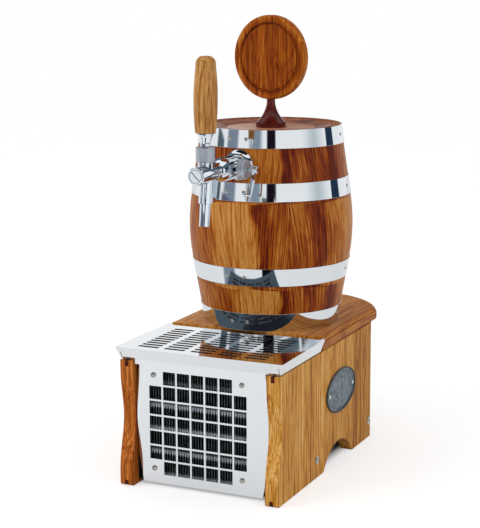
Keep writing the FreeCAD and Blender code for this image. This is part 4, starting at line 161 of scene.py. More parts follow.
@dataclass(frozen=True)
class Finish:
    """A named surface finish."""

    name: str

    def build(self) -> bpy.types.Material:
        """Makes the material.

        Returns:
            The finished material.
        """
        material = bpy.data.materials.new(self.name)
        material.use_nodes = True
        tree = material.node_tree
        self.shade(tree, tree.nodes["Principled BSDF"])
        return material

    def shade(self, tree: Tree, surface: Node) -> None:
        """Fills in the material's nodes; each finish has its own.

        Args:
            tree: node tree of the material.
            surface: its surface shader.
        """
        raise NotImplementedError

    def millimetres(self, tree: Tree, move: Spot = (0, 0, 0), turn: Spot = (0, 0, 0)) -> Socket:
        """Gives the place on the piece in millimetres.

        Args:
            tree: node tree of the material.
            move: shift of the pattern in millimetres.
            turn: turn of the pattern in degrees.

        Returns:
            Socket of the place.
        """
        return add(tree, "Mapping", {
            "Vector": add(tree, "TexCoord", out=3), "Location": move,
            "Rotation": [math.radians(a) for a in turn], "Scale": [1 / MM] * 3})

    def raise_marks(self, surface: Node, height: Socket, depth_mm: float, strength: float) -> None:
        """Gives the surface a relief.

        Args:
            surface: surface shader of the material.
            height: height of the relief from nought to one.
            depth_mm: depth of the relief in millimetres.
            strength: how strongly the relief shows.
        """
        relief = {"Height": height, "Distance": depth_mm * MM, "Strength": strength}
        wire(surface, {"Normal": add(surface.id_data, "Bump", relief)})


@dataclass(frozen=True)
class Wood(Finish):
    """Sawn or turned timber under oil or varnish, with growth rings, fibres and open pores."""

    deep: str = "#5E2E0C"  # darkest heartwood
    dark: str = "#8C5420"  # dark streaks
    middle: str = "#B88244"  # ordinary wood
    pale: str = "#D6A766"  # lightest wood
    grain: Grain = Grain.UPRIGHT
    ring_mm: float = 42.0  # distance over which the figure changes
    rings: float = 5.0  # growth lines over that distance
    streak_mm: float = 5.0  # width of the long streaks
    streak: float = 0.35  # their strength
    tone: float = 0.6  # how light the piece is, from nought to one
    fine: float = 0.14  # strength of the single fibres
    varnish: float = 0.0  # coat of clear varnish, from nought to one
    gloss: float = 0.1  # how much the bare wood reflects
    roughness: float = 0.5
    shift: Spot = (0, 0, 0)  # place of the pattern, so that two pieces differ

    # Scale of the figure, the fibres and the pores along the grain, as a share of that across.
    SQUEEZES: ClassVar[Spot] = (0.13, 0.022, 0.07)
    # Real fibres and pores are about 0.2 mm wide, so both are drawn coarser, to show.
    FIBRE_MM: ClassVar[float] = 1.5
    PORE_MM: ClassVar[float] = 1.3
    RING_WAVE: ClassVar[float] = 14.0  # radians of the wave that one growth line takes up
    TURNS: ClassVar[dict[Grain, Spot]] = {
        Grain.UPRIGHT: (0, 0, 0), Grain.SIDEWAYS: (0, -90, 0), Grain.BACKWARD: (90, 0, 0)}

    def board_tone(self, tree: Tree, place: Socket) -> tuple[Socket, Socket]:
        """Tells one part of the piece from the next.

        Args:
            tree: node tree of the material.
            place: place in millimetres, with the fibres along its last axis.

        Returns:
            The place on the board, and how light the board is there.
        """
        slow = add(tree, "TexNoise", {"Vector": place, "Scale": 1 / 160.0, "Detail": 1.0})
        return place, add(tree, "MapRange", {
            "Value": slow, "From Min": 0.3, "From Max": 0.7, "To Min": self.tone - 0.1,
            "To Max": self.tone + 0.1})

    def streak_gain(self, tree: Tree) -> Socket | float:
        """Gives the strength of the long streaks; the same all over a plain board."""
        return self.streak

    def shade(self, tree: Tree, surface: Node) -> None:
        """Builds the timber's colour, gloss and relief from its fibres.

        Args:
            tree: node tree of the material.
            surface: its surface shader.
        """
        fibres = self.millimetres(tree, self.shift, self.TURNS[self.grain])
        place, level = self.board_tone(tree, fibres)
        slow, long, dashes = (
            add(tree, "Mapping", {"Vector": place, "Scale": (1, 1, s)}) for s in self.SQUEEZES)
        figure = add(tree, "TexNoise", {
            "Vector": slow, "Scale": 1 / self.ring_mm, "Detail": 2.0, "Roughness": 0.45,
            "Distortion": 0.6})
        wave = add(tree, "Math", (figure, self.rings * self.RING_WAVE), operation="MULTIPLY")
        wave = add(tree, "Math", (wave,), operation="SINE")
        ring = add(tree, "MapRange", {"Value": wave, "From Min": 0.1, "From Max": 1.0})
        streak = add(tree, "TexNoise", {
            "Vector": long, "Scale": 1 / self.streak_mm, "Detail": 3.0, "Roughness": 0.62,
            "Distortion": 0.25})
        streak = add(tree, "MapRange", {
            "Value": streak, "From Min": 0.32, "From Max": 0.68, "To Min": -0.6, "To Max": 0.4})
        fibre = add(tree, "TexNoise", {
            "Vector": long, "Scale": 1 / self.FIBRE_MM, "Detail": 2.0, "Roughness": 0.6})
        spread = add(tree, "MapRange", {
            "Value": fibre, "From Min": 0.3, "From Max": 0.7, "To Min": -self.fine,
            "To Max": self.fine})
        pore = add(tree, "TexNoise", {"Vector": dashes, "Scale": 1 / self.PORE_MM, "Detail": 1.0})
        pit = add(tree, "MapRange", {"Value": pore, "From Min": 0.56, "From Max": 0.68})
        for mark, gain in ((streak, self.streak_gain(tree)), (ring, -0.16), (spread, 1.0),
                           (pit, -0.22)):
            level = add(tree, "Math", (mark, gain, level), operation="MULTIPLY_ADD")
        colour = add(tree, "ValToRGB", (level,), (
            (0.0, self.deep), (0.3, self.dark), (0.6, self.middle), (0.95, self.pale)))
        gloss = add(tree, "MapRange", {
            "Value": fibre, "To Min": self.roughness - 0.08, "To Max": self.roughness + 0.1})
        wire(surface, {
            "Base Color": colour, "Roughness": gloss, "Coat Weight": self.varnish,
            "Coat Roughness": 0.18, "Specular IOR Level": self.gloss})
        height = add(tree, "Math", (pit, -0.8, fibre), operation="MULTIPLY_ADD")
        self.raise_marks(surface, height, 0.12, 0.45)


@dataclass(frozen=True)
class GluedOak(Wood):
    """Oiled oak glued up from boards of unlike widths, whose tones differ."""

    boards: Stops = ()  # share of the width at which each starts, and how light it is
    span: tuple[float, float] = (0.0, 100.0)  # start and width of the run of boards
    across: Grain = Grain.BACKWARD  # direction in which they lie side by side
    contrast: float = 0.5  # how much they differ

    # How far the pattern moves from board to board, so that no board carries on the next one's.
    JUMPS: ClassVar[Spot] = (930.0, 470.0, 1700.0)

    def board_tone(self, tree: Tree, place: Socket) -> tuple[Socket, Socket]:
        """Tells one glued board from the next by where it lies.

        Args:
            tree: node tree of the material.
            place: place in millimetres, with the fibres along its last axis.

        Returns:
            The place on the board, and how light the board is there.
        """
        start, width = self.span
        share = add(tree, "MapRange", {
            "Value": add(tree, "SeparateXYZ", (self.millimetres(tree),), out=self.across.value),
            "From Min": start, "From Max": start + width})
        ramp = add(tree, "ValToRGB", (share,), self.boards)
        ramp.node.color_ramp.interpolation = "CONSTANT"
        step = add(tree, "VectorMath", (ramp, self.JUMPS), operation="MULTIPLY")
        moved = add(tree, "VectorMath", (place, step), operation="ADD")
        grey = add(tree, "RGBToBW", (ramp,))
        middle = self.tone - 0.5 * self.contrast
        return moved, add(tree, "Math", (grey, self.contrast, middle), operation="MULTIPLY_ADD")


@dataclass(frozen=True)
class CooperedOak(Wood):
    """Varnished oak staves, whose tone and heartwood streaks change round the barrel."""

    belly_mm: float = 124.0  # radius at which arc lengths are reckoned
    # Share of the turn, from the rear over the left, against how light it is there.
    round_tones: Stops = ()
    round_streaks: Stops = ()  # the same, for the strength of the heartwood streaks
    figure_z: float = 137.0  # height above the foot of the middle of the arched figure
    arch: tuple[float, float] = (18.0, 66.0)  # how far from there the arch bends
    arch_turn: float = 5.5  # by how many degrees
    band: tuple[float, float] = (67.0, 70.0)  # how far from there a hoop hides the figure's end
    band_turn: float = -22.0  # by how many degrees it turns there
    wander_mm: float = 46.0  # distance over which the figure wanders
    wander_turn: float = 6.0  # by how many degrees at most
    jumps: tuple[float, float] = (800.0, 530.0)  # steps of the pattern, across and along a stave
    top_band: tuple[float, float] = (204.0, 208.0)  # height above the foot where they darken

    def azimuth(self, tree: Tree) -> tuple[Socket, Socket]:
        """Gives the azimuth in degrees from the front, and the height above the foot."""
        return azimuth(tree, self.millimetres(tree, (0, -BARREL_Y, -BARREL_FOOT)))

    def swayed(self, tree: Tree) -> Socket:
        """Gives the share of the turn, bent with height as the heartwood wanders in the staves.

        Args:
            tree: node tree of the material.

        Returns:
            The share, from nought at the rear over the left to one.
        """
        angle, height = self.azimuth(tree)
        far = add(tree, "Math", (height, self.figure_z), operation="SUBTRACT")
        far = add(tree, "Math", (far,), operation="ABSOLUTE")
        arch = add(tree, "MapRange", {
            "Value": far, "From Min": self.arch[0], "From Max": self.arch[1], "To Min": 0.0,
            "To Max": self.arch_turn}, interpolation_type="SMOOTHSTEP")
        ends = add(tree, "MapRange", {
            "Value": far, "From Min": self.band[0], "From Max": self.band[1], "To Min": 0.0,
            "To Max": self.band_turn})
        wander = add(tree, "TexNoise", {
            "Vector": self.millimetres(tree), "Scale": 1 / self.wander_mm, "Detail": 1.0})
        wander = add(tree, "MapRange", {
            "Value": wander, "To Min": -self.wander_turn, "To Max": self.wander_turn})
        for bend in (arch, ends, wander):
            angle = add(tree, "Math", (angle, bend), operation="ADD")
        return add(tree, "Math", (angle, 1 / 360, 0.5), operation="MULTIPLY_ADD")

    def board_tone(self, tree: Tree, place: Socket) -> tuple[Socket, Socket]:
        """Unrolls each stave, so that its fibres follow it, and moves the pattern for each.

        Args:
            tree: node tree of the material.
            place: place in millimetres, with the fibres along its last axis; not used.

        Returns:
            The place on the board, and how light the board is there.
        """
        angle, height = self.azimuth(tree)
        step = 360.0 / STAVES
        share = add(tree, "MapRange", {
            "Value": angle, "From Min": FIRST_JOINT, "From Max": FIRST_JOINT + step}, clamp=False)
        count = add(tree, "Math", (share,), operation="FLOOR")
        count = add(tree, "Math", (count, float(STAVES), 0.0), operation="WRAP")
        chance = add(tree, "TexWhiteNoise", {"W": count}, noise_dimensions="1D")
        inside = add(tree, "Math", (share,), operation="FRACT")
        across = add(tree, "Math", (inside, math.radians(step) * self.belly_mm),
                     operation="MULTIPLY")
        lean = add(tree, "MapRange", {"Value": chance, "To Min": -0.1, "To Max": 0.16})
        across = add(tree, "Math", (height, lean, across), operation="MULTIPLY_ADD")
        across = add(tree, "Math", (chance, self.jumps[0], across), operation="MULTIPLY_ADD")
        along = add(tree, "Math", (count, self.jumps[1], height), operation="MULTIPLY_ADD")
        ramp = add(tree, "ValToRGB", (self.swayed(tree),), self.round_tones)
        upper = add(tree, "MapRange", {
            "Value": height, "From Min": self.top_band[0], "From Max": self.top_band[1],
            "To Min": self.tone - 0.6, "To Max": self.tone - 0.78})
        tone = add(tree, "Math", (add(tree, "RGBToBW", (ramp,)), upper), operation="ADD")
        return add(tree, "CombineXYZ", (across, 0.0, along)), tone

    def streak_gain(self, tree: Tree) -> Socket | float:
        """Gives stronger streaks where the staves are heartwood."""
        return add(tree, "RGBToBW", (
            add(tree, "ValToRGB", (self.swayed(tree),), self.round_streaks),))


@dataclass(frozen=True)
class TurnedOak(Wood):
    """Varnished oak turned on a faceplate, with painted shade in its steps and a painted highlight on
    its rim.
    """

    centre: Spot = (0, 0, 0)  # a point of the turning axis
    axis: Grain = Grain.UPRIGHT
    reach: float = 106.0  # radius at which the steps end
    steps: Stops = ()  # share of that radius against how light the wood is there: painted shade and highlight

    def board_tone(self, tree: Tree, place: Socket) -> tuple[Socket, Socket]:
        """Paints shade and highlight on flat, step and rim by their distance from the turning axis.

        Args:
            tree: node tree of the material.
            place: place in millimetres, with the fibres along its last axis.

        Returns:
            The place on the board, and how light the board is there.
        """
        flat = tuple(float(i != self.axis.value) for i in range(3))
        spot = self.millimetres(tree, tuple(-c for c in self.centre))
        spot = add(tree, "VectorMath", (spot, flat), operation="MULTIPLY")
        radius = add(tree, "VectorMath", (spot,), out=1, operation="LENGTH")
        share = add(tree, "Math", (radius, self.reach), operation="DIVIDE")
        return place, add(tree, "RGBToBW", (add(tree, "ValToRGB", (share,), self.steps),))


@dataclass(frozen=True)
class MirrorSteel(Finish):
    """Stainless sheet polished to a mirror, with faint haze left by the buffing wheel."""

    colour: str = "#E1E4E6"
    roughness: float = 0.03  # of the clean metal
    haze: float = 0.05  # roughness that the buffing marks add
    marks_mm: float = 3.0  # width of the marks, coarser than real ones so that they show

    def shade(self, tree: Tree, surface: Node) -> None:
        """Sets a bright metal whose gloss varies a little.

        Args:
            tree: node tree of the material.
            surface: its surface shader.
        """
        lying = add(tree, "Mapping", {"Vector": self.millimetres(tree), "Scale": (0.12, 0.12, 1.0)})
        marks = add(tree, "TexNoise", {"Vector": lying, "Scale": 1 / self.marks_mm, "Detail": 3.0})
        gloss = add(tree, "MapRange", {
            "Value": marks, "From Min": 0.35, "From Max": 0.75, "To Min": self.roughness,
            "To Max": self.roughness + self.haze})
        wire(surface, {"Base Color": linear(self.colour), "Metallic": 1.0, "Roughness": gloss})
        self.raise_marks(surface, marks, 0.01, 0.15)


@dataclass(frozen=True)
class BrushedSteel(Finish):
    """Steel, aluminium or copper with fine parallel marks from brushing, rolling or drawing."""

    colour: str = "#B9BBBD"
    patch_tone: str = "#9DA0A3"  # tarnish in patches
    roughness: float = 0.32
    grain: Grain = Grain.SIDEWAYS
    marks_mm: float = 0.7  # distance between marks, coarser than real ones so that they show

    def shade(self, tree: Tree, surface: Node) -> None:
        """Sets a satin metal with fine marks one way and slow patches of tarnish.

        Args:
            tree: node tree of the material.
            surface: its surface shader.
        """
        squeeze = tuple(0.02 if i == self.grain.value else 1.0 for i in range(3))
        place = self.millimetres(tree)
        lying = add(tree, "Mapping", {"Vector": place, "Scale": squeeze})
        marks = add(tree, "TexNoise", {"Vector": lying, "Scale": 1 / self.marks_mm, "Detail": 2.0})
        patch = add(tree, "TexNoise", {"Vector": place, "Scale": 1 / 24.0, "Detail": 3.0})
        gloss = add(tree, "MapRange", {
            "Value": marks, "To Min": self.roughness - 0.08, "To Max": self.roughness + 0.1})
        colour = add(tree, "ValToRGB", (patch,), ((0.0, self.colour), (1.0, self.patch_tone)))
        wire(surface, {"Base Color": colour, "Metallic": 1.0, "Roughness": gloss})
        self.raise_marks(surface, marks, 0.03, 0.4)


@dataclass(frozen=True)
class TapChrome(Finish):
    """Polished and chromed cast brass: a blue-white mirror, a little soft from the casting."""

    colour: str = "#E2EAF2"
    groove_shade: str = "#14181E"  # painted shade in grooves and seams
    groove_shade_mm: float = 5.0  # how wide a groove may be and still get painted shade
    roughness: float = 0.045
    waves_mm: float = 14.0  # width of the slow waves that hand polishing leaves

    def shade(self, tree: Tree, surface: Node) -> None:
        """Sets a bright metal with slow waves, and painted shade in its grooves.

        Args:
            tree: node tree of the material.
            surface: its surface shader.
        """
        wave = add(tree, "TexNoise", {
            "Vector": self.millimetres(tree), "Scale": 1 / self.waves_mm, "Detail": 1.0})
        # Painted shade: ambient occlusion darkens the chrome's colour in grooves and seams.
        clear = add(tree, "AmbientOcclusion", {"Distance": self.groove_shade_mm * MM}, out=1, samples=8)
        unshaded = add(tree, "MapRange", {"Value": clear, "From Min": 0.3, "From Max": 0.75})
        colour = add(tree, "ValToRGB", (unshaded,), ((0.0, self.groove_shade), (1.0, self.colour)))
        wire(surface, {"Base Color": colour, "Metallic": 1.0, "Roughness": self.roughness})
        self.raise_marks(surface, wave, 0.12, 0.12)


@dataclass(frozen=True)
class KnurledChrome(Finish):
    """Chrome over a rolled diamond knurl, which breaks reflections into a grey sparkle."""

    centre: Spot = (0, 0, 0)  # a point of the axis
    axis: Grain = Grain.UPRIGHT
    radius_mm: float = 14.4  # of the knurled face
    pitch_mm: float = 2.2  # spacing of the diamonds, coarser than the real 1.2 mm so that it shows
    # Painted shade in the knurl's valleys and painted glints on its crests.
    valley_shade: str = "#A3ACBA"
    crest_glint: str = "#FBFCFE"

    def shade(self, tree: Tree, surface: Node) -> None:
        """Crosses two helical ridges into diamonds, with painted shade in the valleys and painted
        glints on the crests.

        Args:
            tree: node tree of the material.
            surface: its surface shader.
        """
        place = self.millimetres(tree, tuple(-c for c in self.centre))
        parts = add(tree, "SeparateXYZ", (place,)).node.outputs
        across, deep, along = (parts[(self.axis.value + i) % 3] for i in (1, 2, 3))
        turn = add(tree, "Math", (across, deep), operation="ARCTAN2")
        arc = add(tree, "Math", (turn, self.radius_mm), operation="MULTIPLY")
        ridges = []
        for way in ("ADD", "SUBTRACT"):
            helix = add(tree, "Math", (arc, along), operation=way)
            phase = add(tree, "Math", (helix, 2 * math.pi / self.pitch_mm), operation="MULTIPLY")
            ridge = add(tree, "Math", (phase,), operation="SINE")
            ridges.append(add(tree, "Math", (ridge, 0.5, 0.5), operation="MULTIPLY_ADD"))
        diamond = add(tree, "Math", tuple(ridges), operation="MULTIPLY")
        colour = add(tree, "ValToRGB", (diamond,), ((0.0, self.valley_shade), (1.0, self.crest_glint)))
        wire(surface, {"Base Color": colour, "Metallic": 0.85, "Roughness": 0.3})
        self.raise_marks(surface, diamond, 0.25, 0.7)


@dataclass(frozen=True)
class Coating(Finish):
    """Paint, moulded plastic, rubber or foam: a coloured skin with its own fine texture."""

    colour: str = "#141414"
    second: str = "#1C1C1C"  # slow patches, such as dust or wear
    roughness: float = 0.45
    texture_mm: float = 0.8
    depth_mm: float = 0.05

    def shade(self, tree: Tree, surface: Node) -> None:
        """Sets a skin with fine relief and slow patches.

        Args:
            tree: node tree of the material.
            surface: its surface shader.
        """
        place = self.millimetres(tree)
        fine = add(tree, "TexNoise", {"Vector": place, "Scale": 1 / self.texture_mm, "Detail": 2.0})
        patch = add(tree, "TexNoise", {"Vector": place, "Scale": 1 / 30.0, "Detail": 3.0})
        colour = add(tree, "ValToRGB", (patch,), ((0.0, self.colour), (1.0, self.second)))
        gloss = add(tree, "MapRange", {
            "Value": patch, "To Min": self.roughness - 0.06, "To Max": self.roughness + 0.06})
        wire(surface, {"Base Color": colour, "Roughness": gloss})
        self.raise_marks(surface, fine, self.depth_mm, 0.6)


@dataclass(frozen=True)
class FinCoat(Finish):
    """Black coated aluminium fins, bright on their front edges, with painted highlights level with
    the tubes.
    """

    front_y: float = -227.5  # the fins' front edges
    first_tube: float = 54.0  # height of the lowest tube
    tube_pitch: float = 36.6  # distance from tube to tube
    tube_highlight_mm: float = 5.4  # how far from a tube the painted highlight reaches
    shade_z: tuple[float, float] = (140.0, 150.0)  # height over which the painted tube highlights fade
    coat: str = "#0D1317"
    # colour of the bright front edges and of the painted tube highlights
    bright_tone: str = "#E0EAF2"

    def shade(self, tree: Tree, surface: Node) -> None:
        """Brightens the front half millimetre, and paints brighter highlights level with the tubes.

        Args:
            tree: node tree of the material.
            surface: its surface shader.
        """
        place = self.millimetres(tree)
        _, depth, height = add(tree, "SeparateXYZ", (place,)).node.outputs
        edge = add(tree, "MapRange", {
            "Value": depth, "From Min": self.front_y + 0.5, "From Max": self.front_y + 0.2})
        patch_noise = add(tree, "TexNoise", {
            "Vector": place, "Scale": 1 / 9.0, "Detail": 3.0, "Roughness": 0.7})
        patch_tone = add(tree, "MapRange", {
            "Value": patch_noise, "From Min": 0.35, "From Max": 0.65, "To Min": 0.03, "To Max": 0.22})
        # Painted highlight: a bright band level with each tube, fainter above the upper tubes.
        off = add(tree, "Math", (height, self.first_tube), operation="SUBTRACT")
        near = add(tree, "Math", (off, self.tube_pitch / 2), operation="PINGPONG")
        collar = add(tree, "MapRange", {
            "Value": near, "From Min": self.tube_highlight_mm, "From Max": 1.0},
            interpolation_type="SMOOTHSTEP")
        patchy = add(tree, "MapRange", {"Value": patch_noise, "From Min": 0.2, "From Max": 0.45})
        upper = add(tree, "MapRange", {
            "Value": height, "From Min": self.shade_z[0], "From Max": self.shade_z[1],
            "To Min": 1.0, "To Max": 0.3})
        for share in (patchy, upper):
            collar = add(tree, "Math", (collar, share), operation="MULTIPLY")
        bright = add(tree, "Math", (edge, patch_tone), operation="MULTIPLY")
        bright = add(tree, "Math", (bright, collar), operation="MAXIMUM")
        colour = add(tree, "ValToRGB", (bright,), ((0.0, self.coat), (1.0, self.bright_tone)))
        wire(surface, {"Base Color": colour, "Roughness": 0.45, "Specular IOR Level": 0.3})


@dataclass(frozen=True)
class Pewter(Finish):
    """Cast pewter with a rubbed blue-grey field, left nearly black on its rim."""

    face_x: float = 135.1  # face of the raised rim
    centre: tuple[float, float] = (1.5, 118.0)  # depth and height of the badge's middle
    halves: tuple[float, float] = (62.5, 35.25)  # its half length and half height
    bead: float = 0.84  # share of the badge at which a low bead runs round
    patina: str = "#151B1E"
    field: tuple[str, str] = ("#43535D", "#73848E")

    def shade(self, tree: Tree, surface: Node) -> None:
        """Rubs the field bright, and leaves the rim and the bead dark.

        Args:
            tree: node tree of the material.
            surface: its surface shader.
        """
        place = self.millimetres(tree)
        rim = add(tree, "MapRange", {
            "Value": add(tree, "SeparateXYZ", (place,)), "From Min": self.face_x - 0.9,
            "From Max": self.face_x - 0.1})
        oval = add(tree, "Mapping", {
            "Vector": self.millimetres(tree, (0, *(-c for c in self.centre))),
            "Scale": (0, 1 / self.halves[0], 1 / self.halves[1])})
        share = add(tree, "VectorMath", (oval,), out=1, operation="LENGTH")
        off = add(tree, "Math", (share, self.bead), operation="SUBTRACT")
        off = add(tree, "Math", (off,), operation="ABSOLUTE")
        bead = add(tree, "MapRange", {"Value": off, "From Min": 0.028, "From Max": 0.006})
        cast = add(tree, "TexNoise", {
            "Vector": place, "Scale": 1 / 2.2, "Detail": 4.0, "Roughness": 0.65})
        patch = add(tree, "TexNoise", {"Vector": place, "Scale": 1 / 9.0, "Detail": 2.0})
        patch = add(tree, "MapRange", {"Value": patch, "From Min": 0.38, "From Max": 0.64})
        field = add(tree, "ValToRGB", (patch,), tuple(enumerate(self.field)))
        proud = add(tree, "Math", (rim, bead), operation="MAXIMUM")
        colour = add(tree, "Mix", {0: proud, 6: field, 7: linear(self.patina)}, out=2,
                     data_type="RGBA")
        wire(surface, {"Base Color": colour, "Metallic": 0.8, "Roughness": 0.36})
        height = add(tree, "Math", (cast, 0.25, bead), operation="MULTIPLY_ADD")
        self.raise_marks(surface, height, 0.4, 0.7)


# ---------------------------------------------------------------- modelling helpers
def clear_choice() -> None:
    """Leaves nothing selected, so that the next operator acts on the new piece alone."""
    bpy.ops.object.select_all(action="DESELECT")


def choose(piece: Piece) -> None:
    """Selects one piece and makes it active.

    Args:
        piece: the piece.
    """
    clear_choice()
    piece.select_set(True)
    bpy.context.view_layer.objects.active = piece


def spun(name: str, profile: Profile, turn: float = 360.0, sides: int = 32,
         centre: tuple[float, float] = (0.0, 0.0), first: float = 90.0,
         solid: bool = True) -> Piece:
    """Draws an outline and turns it about an upright axis, as on a lathe.

    Args:
        name: name of the piece.
        profile: radius and height of each corner, in millimetres.
        turn: how far it is turned, in degrees.
        sides: number of steps.
        centre: place of the axis in millimetres.
        first: azimuth of the drawn outline, in degrees from the front.
        solid: whether a part turn gives a closed slice, and not a curved sheet.

    Returns:
        The piece, facing outwards.
    """
    clear_choice()
    axis = Vector((*centre, 0)) * MM
    start = math.radians(first)
    way = Vector((math.sin(start), -math.cos(start), 0))
    corners = [axis + (way * r + Vector((0, 0, z))) * MM for r, z in profile]
    bpy.ops.mesh.primitive_plane_add(size=0.002, location=corners[0])
    piece = bpy.context.object
    piece.name = name
    bpy.ops.object.mode_set(mode="EDIT")
    bpy.ops.mesh.merge(type="CENTER")
    for here, there in zip(corners, corners[1:]):
        bpy.ops.mesh.extrude_region_move(TRANSFORM_OT_translate={"value": there - here})
    bpy.ops.mesh.select_all(action="SELECT")
    if solid and turn < 360:
        bpy.ops.mesh.edge_face_add()
    bpy.ops.mesh.spin(steps=sides, angle=math.radians(turn), center=axis, axis=(0, 0, -1))
    bpy.ops.mesh.select_all(action="SELECT")
    bpy.ops.mesh.remove_doubles(threshold=1e-6)
    bpy.ops.mesh.normals_make_consistent(inside=False)
    bpy.ops.object.mode_set(mode="OBJECT")
    bpy.ops.object.transform_apply(location=True, rotation=False, scale=False)
    return piece


def eased(piece: Piece, width_mm: float, segments: int = 2, angle: float = 50.0) -> None:
    """Rounds the sharp edges of a piece with an applied bevel.

    Args:
        piece: piece to round.
        width_mm: width of the rounding.
        segments: steps across the rounding.
        angle: edges sharper than this many degrees are rounded.
    """
    choose(piece)
    bevel = piece.modifiers.new("eased_edges", "BEVEL")
    bevel.width = width_mm * MM
    bevel.segments = segments
    bevel.limit_method = "ANGLE"
    bevel.angle_limit = math.radians(angle)
    bpy.ops.object.modifier_apply(modifier=bevel.name)


def facing(point: Sequence[float], outward: Sequence[float], turn: float = 0.0) -> Matrix:
    """Gives the place of a small part that stands on a surface.

    Args:
        point: foot of the part in millimetres.
        outward: direction away from the surface.
        turn: turn about that direction in degrees.

    Returns:
        Matrix that takes the upright part there.
    """
    lean = Vector(outward).to_track_quat("Z", "Y").to_matrix().to_4x4()
    twist = Matrix.Rotation(math.radians(turn), 4, "Z")
    return Matrix.Translation(Vector(point) * MM) @ lean @ twist


def copies(model: Piece, places: Sequence[Matrix], name: str) -> Piece:
    """Copies a part to several places and joins the copies into one piece.

    Args:
        model: part with its place in its mesh, used up by this.
        places: where each copy goes.
        name: name of the piece.

    Returns:
        The joined piece, with its object at the origin.
    """
    made = []
    for place in places:
        twin = model.copy()
        twin.data = model.data.copy()
        bpy.context.scene.collection.objects.link(twin)
        choose(twin)
        twin.matrix_world = place
        bpy.ops.object.transform_apply(location=True, rotation=True, scale=True)
        made.append(twin)
    bpy.data.objects.remove(model)
    choose(made[0])
    for twin in made:
        twin.select_set(True)
    bpy.ops.object.join()
    made[0].name = name
    return made[0]


def carved(piece: Piece, cutter: Piece) -> None:
    """Cuts one shape out of another.

    Args:
        piece: what is cut.
        cutter: shape that is cut out, used up by this.
    """
    choose(piece)
    cut = piece.modifiers.new("recess", "BOOLEAN")
    cut.operation = "DIFFERENCE"
    cut.solver = "EXACT"
    cut.object = cutter
    bpy.ops.object.modifier_apply(modifier=cut.name)
    bpy.data.objects.remove(cutter)


def dome(radius: float, rise: float, base: float, steps: int = 6) -> list[tuple[float, float]]:
    """Outline of a low dome from its rim to the axis.

    Args:
        radius: radius of the rim.
        rise: height of the dome.
        base: height of the rim.
        steps: corners along the arc.

    Returns:
        Radius and height of each corner, in millimetres.
    """
    sphere = (radius ** 2 + rise ** 2) / (2 * rise)
    half = math.asin(min(1.0, radius / sphere))
    angles = [half * (1 - i / steps) for i in range(steps + 1)]
    return [(sphere * math.sin(a), base + rise - sphere * (1 - math.cos(a))) for a in angles]


@dataclass(frozen=True)
class CrossedScrew:
    """Domed screw with a cross recess, and a washer where it has one. Sizes in millimetres."""

    radius: float  # of the head
    height: float  # of the head
    length: float  # of the shank, under the surface
    washer: tuple[float, float] = (0.0, 0.0)  # radius and thickness, or noughts
    shank: float = 2.0  # its radius
    slot: float = 0.85  # width of the recess
    slot_reach: float = 1.15  # its length from end to end, in radii of the head
    cutter_height: float = 2.0  # half of it goes into the head
    rim: float = 0.15  # flat rim round the dome

    def build(self) -> Piece:
        """Models the screw.

        Returns:
            The screw, standing on the origin with its head up.
        """
        wide, thick = self.washer
        outline = [(0.0, -self.length), (self.shank, -self.length), (self.shank, 0.0)]
        if wide:
            outline += [(wide, 0.0), (wide, thick)]
        outline += [(self.radius, thick), (self.radius, thick + self.height * 0.3)]
        outline += dome(self.radius - self.rim, self.height * 0.62, thick + self.height * 0.38)
        screw = spun("screw", outline)
        eased(screw, 0.18, 2, 35)
        arm = self.radius * self.slot_reach
        for across, along in ((arm, self.slot), (self.slot, arm)):
            clear_choice()
            bpy.ops.mesh.primitive_cube_add(size=1, location=(0, 0, (thick + self.height) * MM))
            cutter = bpy.context.object
            cutter.scale = (across * MM, along * MM, self.cutter_height * MM)
            bpy.ops.object.transform_apply(location=True, rotation=False, scale=True)
            carved(screw, cutter)
        return screw


# ---------------------------------------------------------------- sub-assemblies
@dataclass
class SubAssembly:
    """Part of the dispenser that is built and dressed together."""

    finishes: dict[str, Finish | bpy.types.Material]

    WEARS: ClassVar[dict[str, tuple[str, ...]]] = {}  # finish against the frame's solids that wear it

    def material(self, name: str) -> bpy.types.Material:
        """Gives a finish by name, built once.

        Args:
            name: name of the finish.

        Returns:
            Its material.
        """
        if isinstance(self.finishes[name], Finish):
            self.finishes[name] = self.finishes[name].build()
        return self.finishes[name]

    def build(self) -> None:
        """Models the new pieces; a sub-assembly that has none leaves this out."""

    def dress(self) -> None:
        """Gives the frame's solids their finishes."""
        for finish, nodes in self.WEARS.items():
            for node in nodes:
                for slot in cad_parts[node].material_slots:
                    slot.material = self.material(finish)
                LOG.info("dressed %s in %s", node, finish)

    def settle(self, piece: Piece, finish: str, slot: str, node: str, angle: float = 35.0) -> None:
        """Finishes a modelled piece and ties it to the base.

        Args:
            piece: the modelled piece.
            finish: name of its finish.
            slot: the record's material slot; not used.
            node: solid that it stands for.
            angle: edges sharper than this many degrees stay sharp.
        """
        choose(piece)
        bpy.ops.object.transform_apply(location=True, rotation=True, scale=True)
        bpy.ops.object.shade_smooth_by_angle(angle=math.radians(angle))
        weight = piece.modifiers.new("flat_faces", "WEIGHTED_NORMAL")
        weight.keep_sharp = True
        bpy.ops.object.modifier_apply(modifier=weight.name)
        piece.data.materials.clear()
        piece.data.materials.append(self.material(finish))
        piece.data.name = piece.name
        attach(piece, "base")
        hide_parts(node)
        LOG.info("built %s with %d faces", piece.name, len(piece.data.polygons))


